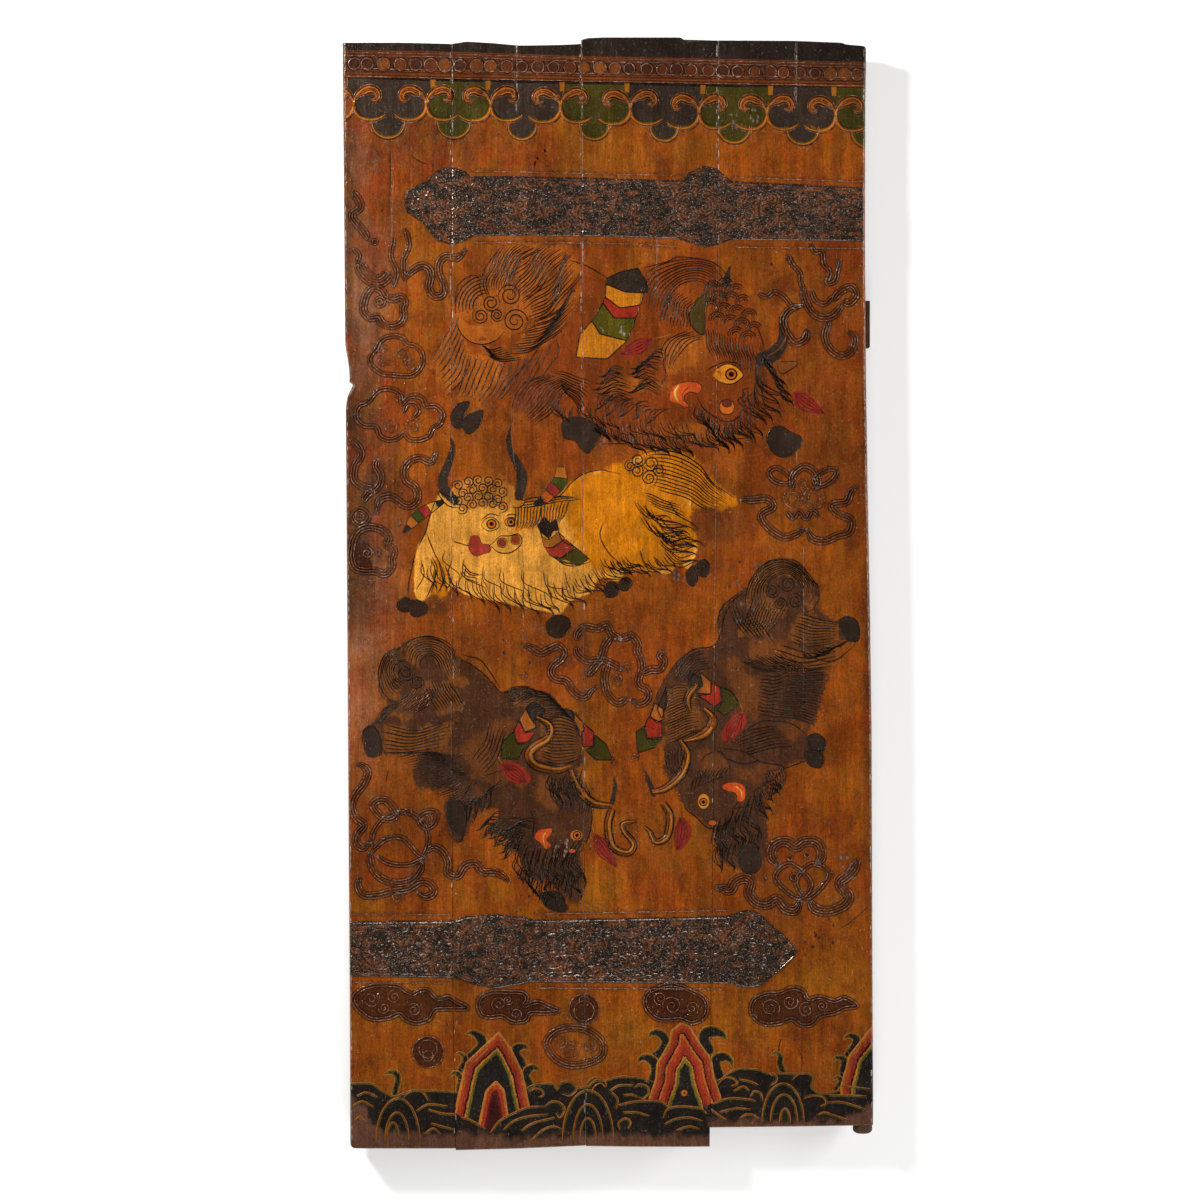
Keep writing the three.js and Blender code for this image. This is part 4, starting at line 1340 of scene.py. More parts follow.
YAK_TWO_BODY = ((437, 497), (426, 531), (416, 551), (414, 583), (416, 597), (423, 601), (430, 595),
    (437, 579), (444, 583), (448, 592), (453, 586), (464, 594), (484, 599), (501, 602), (526, 608),
    (544, 611), (560, 614), (568, 604), (580, 597), (592, 592), (600, 578), (618, 581), (627, 570),
    (645, 569), (668, 574), (679, 563), (688, 569), (697, 551), (696, 544), (680, 531), (682, 520),
    (690, 512), (690, 490), (676, 470), (659, 456), (645, 454), (627, 463), (621, 474), (611, 472),
    (600, 470), (584, 474), (571, 483), (562, 494), (550, 502), (525, 502), (512, 486), (490, 478),
    (465, 480), (450, 490))
YAK_TWO_BRIGHT = ((556, 500), (572, 482), (600, 471), (640, 462), (668, 470), (690, 512), (694, 552),
    (660, 572), (620, 572), (590, 566), (570, 530))
YAK_TWO_LIT = ((458, 478), (484, 470), (510, 478), (520, 500), (506, 510), (484, 506), (460, 508), (452, 492))
YAK_TWO_HORNS = (
    (((440, 430), (449, 437), (453, 447), (449, 462), (443, 478), (444.5, 490), (455, 501)),
        (1, 3, 6, 8, 10, 11, 9)),
    (((512, 421), (508.6, 437), (510.4, 451), (517.5, 464), (522, 478), (519, 496)), (1, 4, 6, 9, 11, 9)))
YAK_TWO_LINES = {
    "neck": ((437, 497), (430, 515), (426, 531), (420, 543), (416, 551)),
    "back": ((550, 502), (562, 494), (571, 483), (584, 474), (600, 470), (611, 472), (621, 474)),
    "fore leg": ((416, 551), (412, 567), (408, 590), (410, 600)),
    "fore leg inside": ((432, 556), (437, 570), (430, 590), (424, 602)),
    "shin": ((421, 560), (424, 575), (416, 590)),
    "chest": ((426, 532), (434, 552), (444, 575), (440, 592)),
    "chest low": ((452, 560), (448, 575), (456, 590)),
    "cheek": ((452, 541), (466, 545), (474, 545)),
    "jaw": ((462, 562), (470, 572), (482, 575)),
    "thigh": ((604, 521), (600, 535), (608, 552), (622, 565)),
    "thigh low": ((640, 550), (644, 562), (656, 570)),
    "rump": ((668, 500), (678, 515), (690, 522), (700, 530)),
    "stifle": ((653, 556), (664, 566), (672, 572)),
    "collar": ((536, 520), (545, 542), (560, 562), (575, 566), (592, 561)),
    "collar top": ((556, 522), (562, 540), (576, 548), (592, 561)),
    "brow left": ((482, 519), (490, 514), (500, 516)),
    "brow right": ((506, 516), (512, 514), (518, 516)),
    "muzzle": ((490, 545), (498, 552), (509, 553), (519, 547), (522, 540), (518, 534), (509, 536),
        (500, 536), (495, 541), (490, 545)),
    "tongue edge": ((471, 536), (478, 536), (482, 544), (489, 545), (490, 551), (482, 554), (476, 556),
        (470, 551), (469, 544), (471, 536)),
    "ear left": ((459, 508), (447, 505), (437, 491), (448, 496), (459, 498)),
    "ear right": ((511, 508), (520, 507), (525, 501), (514, 499)),
}
YAK_TWO_LOCKS = {
    "tail": (((642, 453), (662, 451), (684, 455), (702, 466), (714, 484), (738, 502)),
        ((652, 488), (668, 492), (686, 499), (704, 508), (722, 509)), 2.5, 1.2),
    "tail root": (((640, 492), (660, 498), (684, 508)), ((648, 502), (668, 512), (692, 522)), 3.2, 1),
    "mane left": (((514, 504), (516, 518), (512, 532)), ((542, 504), (538, 520), (532, 530)), 2.5),
    "mane right": (((540, 503), (542, 516), (540, 526)), ((570, 500), (564, 514), (558, 526)), 2.5),
    "mane top": (((518, 502), (545, 496), (576, 498)), ((520, 508), (548, 504), (590, 497)), 2.6),
    "cheek": (((462, 568), (470, 574), (480, 576)), ((460, 572), (468, 580), (480, 582)), 2.6),
    "leg": (((430, 558), (436, 574), (430, 594)), ((444, 562), (450, 580), (444, 596)), 5.5),
}
YAK_TWO_FRINGES = ((((428, 566), (460, 580), (500, 588), (546, 594)), ((6, 20), (18, 24)), 13, 3),
    (((456, 560), (500, 574), (556, 574)), ((6, 22), (16, 22)), 22, 2),
    (((556, 588), (590, 576), (624, 560)), ((16, 20), (22, 10)), 11, 4),
    (((606, 560), (636, 564), (660, 558)), ((14, 12), (18, 10)), 11, 3),
    (((648, 520), (664, 536), (668, 552)), ((38, 18), (30, 12)), 9, 4),
    (((640, 505), (656, 512), (666, 526)), ((38, 20), (34, 18)), 11, 3))
YAK_TWO_CROWN = tuple((x + 4.5 * (row % 2), y + 0.0112 * (x - 480) ** 2)
                      for row, y in enumerate((480, 488, 496, 503)) for x in range(458, 508, 10))
YAK_TWO_TAIL_CURLS = ((638, 460, 8), (651, 463, 9), (637, 471, 8), (649, 478, 9), (659, 470, 7),
    (630, 466, 6))
YAK_TWO_HOOVES = (((411, 600), (404, 597), (397, 604), (400, 611), (410, 611)),
    ((408, 602), (418, 600), (428, 607), (424, 615), (412, 616)),
    ((546, 622), (556, 615), (568, 618), (570, 628), (560, 638), (548, 634)),
    ((618, 583), (626, 577), (632, 582), (628, 590), (620, 590)),
    ((604, 588), (611, 581), (619, 587), (616, 596), (606, 597)),
    ((686, 572), (694, 565), (699, 574), (694, 586), (687, 582)),
    ((696, 564), (704, 559), (710, 566), (706, 577), (698, 574)))
PLUME_LEFT = {
    "path": ((444, 501), (430, 508), (418, 516), (409, 526), (403, 533)),
    "widths": (4, 9, 12, 10, 2),
    "bands": ("#25211C", "#C98A2C", "#8E2A22", "#3F4514", "#B56620", "#2B211C"),
}
PLUME_RIGHT = {
    "path": ((534, 505), (544, 499), (553, 490), (560, 481), (561, 467)),
    "widths": (4, 10, 13, 14, 8),
    "bands": ("#25211C", "#B5551C", "#8E2A22", "#3F4514", "#B56620"),
}
YAK_TWO_COLLAR = ((
     ((544, 516), (550, 523), (556, 519), (559, 530), (553, 531), (549, 539), (542, 533), (537, 526)),
     "#2A1F19"), (((541, 536), (549, 540), (558, 532), (565, 538), (553, 548), (544, 547)), "#A5601A"),
    (((545, 548), (553, 547), (565, 539), (575, 547), (561, 558), (550, 556)), "#9C3420"),
    (((552, 557), (562, 558), (576, 548), (589, 559), (580, 565), (563, 563)), "#4A3E14"))


def plume(shape):
    """A feathered tuft: a tapered stroke cut across into coloured bands."""
    curve = smooth(shape["path"], step=1.0)
    half = half_widths(shape["widths"], len(curve))[:, None]
    left, right = beside(curve, half), beside(curve, -half)
    cuts = np.linspace(0, len(curve) - 1, len(shape["bands"]) + 1).astype(int)
    for start, stop, colour in zip(cuts, cuts[1:], shape["bands"]):
        outline = np.vstack((left[start:stop + 1], right[start:stop + 1][::-1]))
        patch(outline, colour, 0.24, smoothed=False)
        line(np.vstack((left[stop], right[stop])), 1.2, lift=0.3)
    for side in (left, right):
        line(side, 1.3, lift=0.3, raw=True)


def yak_two():
    """The yellow yak in the middle."""
    area("pale_coat", YAK_TWO_BODY, smoothed=True)
    area("bright_coat", YAK_TWO_BRIGHT, smoothed=True)
    area("lit", YAK_TWO_LIT)
    lines(YAK_TWO_LINES.values(), width=1.8)
    locks(YAK_TWO_LOCKS, first_seed=60, under="bright_coat")
    fringes(YAK_TWO_FRINGES, 420, 1.5)
    for k, (x, y) in enumerate(YAK_TWO_CROWN):
        line(spiral(x, y, 6.0, 1.8, 200 + 40 * (k % 3), (-1, 1)[k % 2]), 1.9, raw=True)
    spirals(YAK_TWO_TAIL_CURLS, 2.0, 2.2)
    hooves(YAK_TWO_HOOVES, "#332218")
    for points, widths in YAK_TWO_HORNS:
        horn(points, widths)
    plume(PLUME_LEFT)
    plume(PLUME_RIGHT)
    for outline, colour in YAK_TWO_COLLAR:
        patch(outline, colour, 0.24, smoothed=False)
        line(resampled(np.array(outline + outline[:1], float)), 1.4, lift=0.3, raw=True)
    eye = ((481, 524.5), (486, 518.5), (493, 517.5), (499, 523), (498, 528), (490, 531), (484, 528.5))
    inked(eye, "#D89A34", 0.24, 1.5, 0.34)
    round_eye(491.5, 524, 5.2)
    line(ring(511, 522, 6, 4.6), 1.5, lift=0.34, raw=True)
    round_eye(511, 522, 4.2)
    patch(YAK_TWO_LINES["tongue edge"][:-1], "#A63A2A", 0.26)
    for x, y in ((502.3, 542.7), (515.7, 540)):
        disc(x, y, 4.0, "#8E3420", lift=0.26)
        line(ring(x, y, 4.8), 1.3, lift=0.34, raw=True)


# The third yak: dark, head down in the lower left

YAK_THREE_BODY = ((380, 689), (382, 671), (389, 655), (401, 647), (410, 640), (426, 637), (441, 641),
    (451, 650), (457, 657), (473, 666), (485, 675), (494, 685), (503, 693), (518, 687), (532, 689),
    (548, 696), (559, 707), (575, 712), (582, 730), (584, 760), (570, 775), (576, 773), (587, 791),
    (592, 812), (589, 835), (580, 851), (584, 880), (578, 905), (560, 890), (545, 882), (530, 880),
    (520, 858), (505, 836), (486, 832), (500, 812), (478, 812), (462, 842), (452, 836), (444, 805),
    (456, 790), (420, 788), (412, 770), (418, 755), (383, 754), (368, 757), (363, 742), (364, 730),
    (376, 722), (386, 712), (386, 698))
YAK_THREE_PALE = (((462, 748), (490, 726), (512, 720), (512, 760), (528, 784), (500, 780), (476, 775)),
    ((455, 782), (480, 786), (474, 812), (456, 810)),
    ((536, 776), (556, 782), (566, 800), (552, 812), (536, 800)),
    ((384, 742), (440, 744), (452, 752), (400, 755)), ((470, 776), (500, 770), (520, 776), (500, 784)))
YAK_THREE_LINES = {
    "back": ((457, 657), (473, 666), (485, 675), (494, 685), (503, 693), (518, 687), (532, 689), (548, 696),
        (559, 707), (575, 712)),
    "echo": ((463, 655), (480, 660), (490, 672), (500, 688)),
    "tail": ((385, 700), (379, 689), (382, 671), (389, 655), (401, 647), (410, 640), (426, 637), (441, 641),
        (451, 650), (457, 660)),
    "leg": ((390, 701), (400, 705), (376, 722), (364, 730), (363, 742), (368, 756)),
    "under": ((384, 753), (409, 753), (437, 753), (451, 766)),
    "shoulder": ((474, 782), (490, 774), (505, 770), (520, 770)),
    "ear": ((486, 835), (497, 822), (512, 818), (528, 820)),
    "head": ((587, 791), (592, 812), (589, 835), (580, 851), (569, 859)),
    "cheek": ((537, 850), (533, 836), (534, 819), (528, 808)),
    "brow": ((552, 790), (560, 800), (564, 815)),
}
YAK_THREE_LOCKS = {
    "tail left": (((409, 662), (400, 661), (394, 669), (398, 680), (408, 686)),
        ((403, 647), (387, 653), (378, 670), (382, 690), (394, 702)), 2.1),
    "tail right": (((420, 670), (421, 660), (430, 655), (438, 660), (442, 672), (448, 686)),
        ((402, 655), (409, 641), (428, 636), (450, 645), (457, 662), (468, 684)), 2.1),
    "tail fan": (((412, 688), (402, 700), (386, 706)), ((442, 686), (428, 704), (402, 720)), 2.3),
    "tail root": (((424, 684), (432, 700), (440, 716)), ((448, 680), (456, 694), (466, 708)), 2.4),
    "leg top": (((402, 702), (390, 706), (378, 711)), ((388, 718), (378, 722), (370, 727)), 2.2),
    "leg fringe": (((382, 724), (414, 730), (458, 718)), ((382, 752), (414, 752), (450, 744)), 2.8),
    "flank brush": (((452, 754), (424, 753), (394, 757)), ((476, 782), (462, 794), (444, 804)), 2.1),
    "flank low": (((474, 784), (462, 796), (448, 806)), ((480, 800), (468, 814), (452, 838)), 2.3),
    "back": (((503, 693), (517, 686), (534, 688)), ((512, 706), (528, 698), (548, 697)), 2.2),
    "mane top": (((512, 702), (526, 692), (541, 691), (556, 698)),
        ((542, 724), (558, 716), (573, 720), (581, 733)), 2.2),
    "mane low": (((542, 724), (558, 717), (573, 722), (581, 735)),
        ((540, 758), (556, 764), (572, 762), (583, 752)), 2.2),
    "belly": (((470, 762), (484, 742), (492, 718)), ((486, 772), (500, 752), (506, 726)), 3.2),
    "cheek left": (((508, 818), (498, 826), (486, 834)), ((526, 830), (518, 844), (504, 852)), 2.4),
    "neck": (((548, 776), (552, 796), (562, 812)), ((584, 778), (590, 798), (588, 818)), 2.3),
}
YAK_THREE_FRINGES = ((((524, 846), (540, 856), (556, 852), (580, 850)), ((2, 34), (2, 38)), 9, 5),
    (((520, 866), (545, 880), (578, 872)), ((4, 22), (2, 26)), 10, 5),
    (((530, 824), (522, 838), (520, 850)), ((-26, 6), (-22, 10)), 9, 5),
    (((500, 816), (494, 826), (512, 838)), ((-18, 8), (-20, 6)), 10, 4),
    (((498, 786), (484, 796), (470, 806)), ((-10, 22), (-14, 22)), 11, 4),
    (((552, 778), (560, 782), (580, 776)), ((2, 24), (4, 22)), 9, 4))
YAK_THREE_CURLS = ((405.5, 673, 9), (417, 682, 7.5), (396, 684, 6))
YAK_THREE_HOOVES = (((364, 730), (371, 725), (377, 730), (382, 744), (380, 755), (368, 756), (365, 744)),
    ((541, 893), (555, 891), (562, 898), (568, 909), (560, 912), (548, 908), (541, 900)),
    ((446, 806), (456, 800), (466, 808), (466, 824), (460, 842), (450, 832)))
YAK_THREE_SADDLE = {
    "black": (((526, 707), (535, 702), (546, 710), (542, 718), (532, 721)),
        ((560, 708), (572, 711), (575, 719), (564, 716))),
    "amber": (((526, 709), (519, 719), (525, 732), (537, 727), (531, 719)),
        ((573, 713), (584, 723), (581, 738), (575, 726))),
    "red": (((519, 721), (514, 730), (517, 743), (528, 742), (536, 731), (525, 733)),
        ((585, 725), (594, 732), (593, 746), (583, 747), (582, 737))),
    "moss": (((513, 732), (502, 741), (501, 759), (518, 759), (526, 744), (517, 744)),
        ((595, 735), (606, 744), (613, 760), (596, 760), (585, 750), (594, 746))),
}
YAK_THREE_ROPES = {
    "near horn": (
        ((537, 717), (550, 726), (548, 738), (534, 747), (529, 756), (537, 766), (557, 770), (571, 766)),
        (3, 7, 8.5, 9, 9, 8.5, 7, 4)),
    "far horn": (((571, 770), (578, 788), (593, 803), (612, 806)), (5, 8.5, 8, 5)),
    "tail": (
        ((612, 809), (608, 826), (613, 847), (628, 853), (634, 844), (625, 832), (623, 824), (637, 821)),
        (7, 7.5, 8, 7, 6, 5.5, 5, 2)),
}
YAK_THREE_TASSELS = ((((500, 762), (516, 763), (530, 775), (528, 784), (512, 782), (503, 773)),
     ((498, 757), (500, 760), (502, 764))),
    (((593, 834), (600, 836), (609, 844), (617, 868), (604, 857), (596, 851)),
     ((592, 824), (593, 829), (594, 834))))


def rope(points, widths):
    """A horn or thick cord of uneven width: orange, with ink at both sides and a line along it."""
    curve = smooth(points)
    half = half_widths(widths, len(curve))
    side = half[:, None]
    line(curve, 2 * half * PIXEL, "#A2541A", start=1, end=1, lift=0.24, raw=True)
    line(beside(curve, 0.3 * side), 0.6 * half * PIXEL, "#B8701E", start=0.4, end=0.3, lift=0.32, raw=True)
    for share in (-1, 1):
        line(beside(curve, share * side), 2.1, start=0.6, end=0.4, lift=0.38, raw=True)
    line(beside(curve, -0.25 * side), 1.4, start=0.4, end=0.3, lift=0.38, raw=True)


def dark_yak(body, pale, strokes, hair, curls, feet, cloths, ropes, tassels, tuft_rows, seed):
    """One of the two dark yaks: its body, the paler places in it, line work, cloths and ropes."""
    area("dark_coat", body, smoothed=True)
    for outline in pale:
        area("rubbed", outline, smoothed=True)
    saddle(cloths)
    lines(strokes.values(), width=1.8)
    locks(hair, first_seed=seed)
    fringes(tuft_rows, seed + 300)
    spirals(curls, 2.1, 2.4)
    hooves(feet)
    for outline, cord in tassels:
        tassel(outline, cord)
    for points, widths in ropes.values():
        rope(points, widths)


def yak_three():
    """The dark yak at the lower left."""
    dark_yak(YAK_THREE_BODY, YAK_THREE_PALE, YAK_THREE_LINES, YAK_THREE_LOCKS, YAK_THREE_CURLS,
             YAK_THREE_HOOVES, YAK_THREE_SADDLE, YAK_THREE_ROPES, YAK_THREE_TASSELS, YAK_THREE_FRINGES, 120)
    horn(((612, 803), (615, 790), (614, 772)), (5, 5, 1))
    disc(576.4, 835.4, 6, "#D0702A", tall=5, lift=0.26)
    round_eye(577, 835.4, 4.4)
    disc(572, 851, 3.6, "#C8542A", tall=1.8, lift=0.26)
    patch(((534.5, 838), (538, 831), (545, 829), (552, 829), (550, 835), (546, 840), (551, 845), (546, 849),
           (541, 843)), "#CF4F20", 0.26)
    line(((546, 832), (543, 838), (545, 846)), 2.6, "#E3A545", lift=0.34)


# The fourth yak: dark, head down in the lower right

YAK_FOUR_BODY = ((754, 579), (761, 567), (773, 560), (793, 560), (805, 569), (807, 579), (816, 583),
    (819, 595), (818, 607), (836, 622), (855, 620), (858, 636), (845, 640), (820, 660), (826, 680),
    (815, 720), (808, 735), (822, 738), (820, 764), (806, 760), (786, 766), (772, 775), (764, 790),
    (768, 830), (764, 860), (742, 870), (722, 860), (714, 834), (712, 829), (700, 820), (685, 808),
    (676, 790), (664, 770), (664, 748), (652, 730), (652, 706), (659, 690), (668, 674), (679, 660),
    (695, 649), (711, 647), (719, 638), (718, 620), (723, 606), (734, 597), (746, 588))
YAK_FOUR_PALE = (((752, 640), (790, 640), (810, 656), (780, 668), (750, 660)),
    ((728, 660), (746, 668), (768, 700), (756, 720), (738, 700)),
    ((700, 752), (720, 752), (730, 764), (716, 776), (700, 770)),
    ((736, 770), (768, 766), (776, 770), (756, 786)), ((780, 726), (800, 722), (806, 732), (790, 738)))
YAK_FOUR_LINES = {
    "tail": ((754, 579), (761, 567), (773, 560), (793, 560), (805, 569), (807, 579), (816, 583), (819, 595),
        (812, 610), (795, 613)),
    "back": ((746, 588), (734, 597), (723, 606), (718, 620), (719, 638), (711, 647), (695, 649), (679, 660),
        (668, 674), (659, 690), (652, 706)),
    "echo": ((744, 592), (732, 602), (724, 618), (722, 634)),
    "leg line": ((800, 650), (820, 660), (836, 660), (855, 645)),
    "fore leg": ((743, 732), (760, 722), (775, 721), (792, 724), (807, 735)),
    "fore leg under": ((807, 760), (786, 768), (768, 771)),
    "ear": ((720, 748), (745, 752), (761, 762), (784, 767), (768, 782), (748, 794)),
    "ear inside": ((724, 758), (744, 764), (760, 760)),
    "muzzle": ((682, 794), (686, 809), (696, 817), (704, 825), (712, 829), (723, 825), (732, 816),
        (734, 809), (750, 805), (756, 796)),
    "cheek": ((700, 762), (708, 754), (720, 752), (730, 764)),
    "jaw": ((734, 808), (740, 798), (748, 790)),
}
YAK_FOUR_LOCKS = {
    "tail dome": (((746, 612), (747, 590), (760, 567), (784, 559), (806, 571), (817, 591), (811, 611)),
        ((768, 600), (766, 587), (775, 577), (788, 574), (799, 582), (803, 594), (800, 606)), 2.1),
    "tail fan": (((754, 592), (749, 612), (740, 634)), ((786, 608), (776, 622), (766, 636)), 2.3),
    "leg": (((798, 614), (820, 619), (840, 624)), ((788, 640), (812, 647), (838, 641)), 2.5),
    "leg lines": (((776, 644), (812, 653), (844, 646)), ((762, 664), (800, 672), (836, 664)), 4.6),
    "rump": (((728, 604), (736, 622), (748, 640)), ((752, 612), (764, 630), (776, 644)), 4),
    "belly": (((738, 660), (756, 668), (778, 676)), ((780, 652), (796, 662), (812, 672)), 2.6),
    "flank brush": (((786, 670), (810, 668), (836, 667)), ((774, 716), (796, 719), (818, 725)), 2.1),
    "flank inner": (((760, 676), (776, 676), (790, 672)), ((756, 712), (768, 716), (780, 718)), 3),
    "neck": (((704, 650), (686, 657), (668, 676)), ((712, 668), (696, 672), (678, 690)), 2.2),
    "mane": (((664, 694), (678, 684), (696, 690)), ((664, 744), (682, 738), (702, 728)), 2.2),
    "brow": (((664, 748), (668, 766), (678, 780)), ((692, 744), (690, 762), (694, 778)), 2.3),
    "shoulder": (((736, 738), (756, 728), (780, 727)), ((740, 756), (766, 750), (800, 744)), 3),
    "ear hair": (((766, 772), (772, 786), (766, 802)), ((782, 766), (786, 776), (780, 792)), 2.4),
    "cheek": (((700, 768), (694, 780), (690, 792)), ((730, 766), (722, 776), (712, 782)), 2.8),
}
YAK_FOUR_FRINGES = ((((718, 828), (736, 818), (752, 804)), ((2, 30), (6, 30)), 9, 5),
    (((720, 846), (738, 844), (756, 832)), ((2, 24), (4, 22)), 10, 5),
    (((756, 800), (764, 786), (768, 772)), ((14, 22), (14, 16)), 9, 4),
    (((806, 654), (818, 650), (830, 646)), ((22, 2), (20, -4)), 8, 3))
YAK_FOUR_CURLS = ((772, 591, 8), (787.5, 584, 8.5), (795, 601, 8.5), (780, 604, 7))
YAK_FOUR_HOOVES = (((838, 622), (846, 616), (856, 620), (860, 630), (858, 641), (846, 640), (842, 632)),
    ((806, 738), (816, 733), (825, 740), (824, 750), (810, 750)),
    ((804, 752), (818, 750), (824, 758), (820, 768), (808, 764)),
    ((738, 850), (750, 842), (760, 852), (760, 868), (750, 874), (740, 868)))
YAK_FOUR_SADDLE = {
    "black": (((666, 687), (657, 709), (662, 719), (667, 701)),
        ((689, 672), (702, 678), (702, 687), (689, 685))),
    "amber": (((655, 703), (650, 716), (657, 723), (664, 719), (663, 709)),
        ((700, 672), (711, 682), (711, 694), (696, 693), (703, 685))),
    "red": (((649, 717), (645, 725), (647, 738), (662, 737), (662, 723)),
        ((711, 683), (720, 687), (722, 701), (714, 707), (707, 701), (698, 696), (711, 694))),
    "moss": (((644, 726), (636, 732), (638, 753), (654, 748), (661, 739), (647, 739)),
        ((721, 687), (732, 692), (739, 703), (725, 716), (716, 709), (723, 701))),
}
YAK_FOUR_ROPES = {
    "fastening": (((697, 684), (689, 694), (687, 702), (690, 711)), (4, 7, 7, 4)),
    "near horn": (((704, 708), (713, 720), (704, 734), (684, 741)), (3, 9.5, 9, 3)),
    "far horn": (((680, 740), (687, 754), (682, 773), (666, 788), (652, 792)), (4, 8, 8, 7.5, 5)),
    "tail": (((663, 803), (670, 816), (667, 836), (656, 842), (650, 832), (644, 826)),
        (6, 7.5, 7.5, 6.5, 5, 2)),
}
YAK_FOUR_TASSELS = ((((743, 711), (746, 723), (736, 737), (727, 742), (721, 735), (730, 719)),
     ((740, 704), (742, 708), (743, 711))),
    (((681, 817), (691, 826), (688, 842), (677, 851), (674, 837), (677, 823)),
     ((678, 806), (679, 811), (681, 817))))


def yak_four():
    """The dark yak at the lower right."""
    dark_yak(YAK_FOUR_BODY, YAK_FOUR_PALE, YAK_FOUR_LINES, YAK_FOUR_LOCKS, YAK_FOUR_CURLS, YAK_FOUR_HOOVES,
             YAK_FOUR_SADDLE, YAK_FOUR_ROPES, YAK_FOUR_TASSELS, YAK_FOUR_FRINGES, 220)
    horn(((654, 794), (649, 782), (643, 766)), (6, 5, 1))
    disc(703.6, 801.4, 5.6, "#DB8A2E", tall=7.4, lift=0.26)
    round_eye(703.4, 802, 4.3)
    disc(712.5, 823, 4, "#D0602A", tall=2.4, lift=0.26)
    patch(((722, 787), (728, 783), (738, 783), (745, 788), (744, 800), (738, 801), (736, 793), (728, 791)),
          "#CF4F20", 0.26)
    line(((735, 786), (741, 791), (742, 798)), 2.4, "#E3A545", lift=0.34)


# Raised emblems with ribbons, and the clouds and balls at the foot

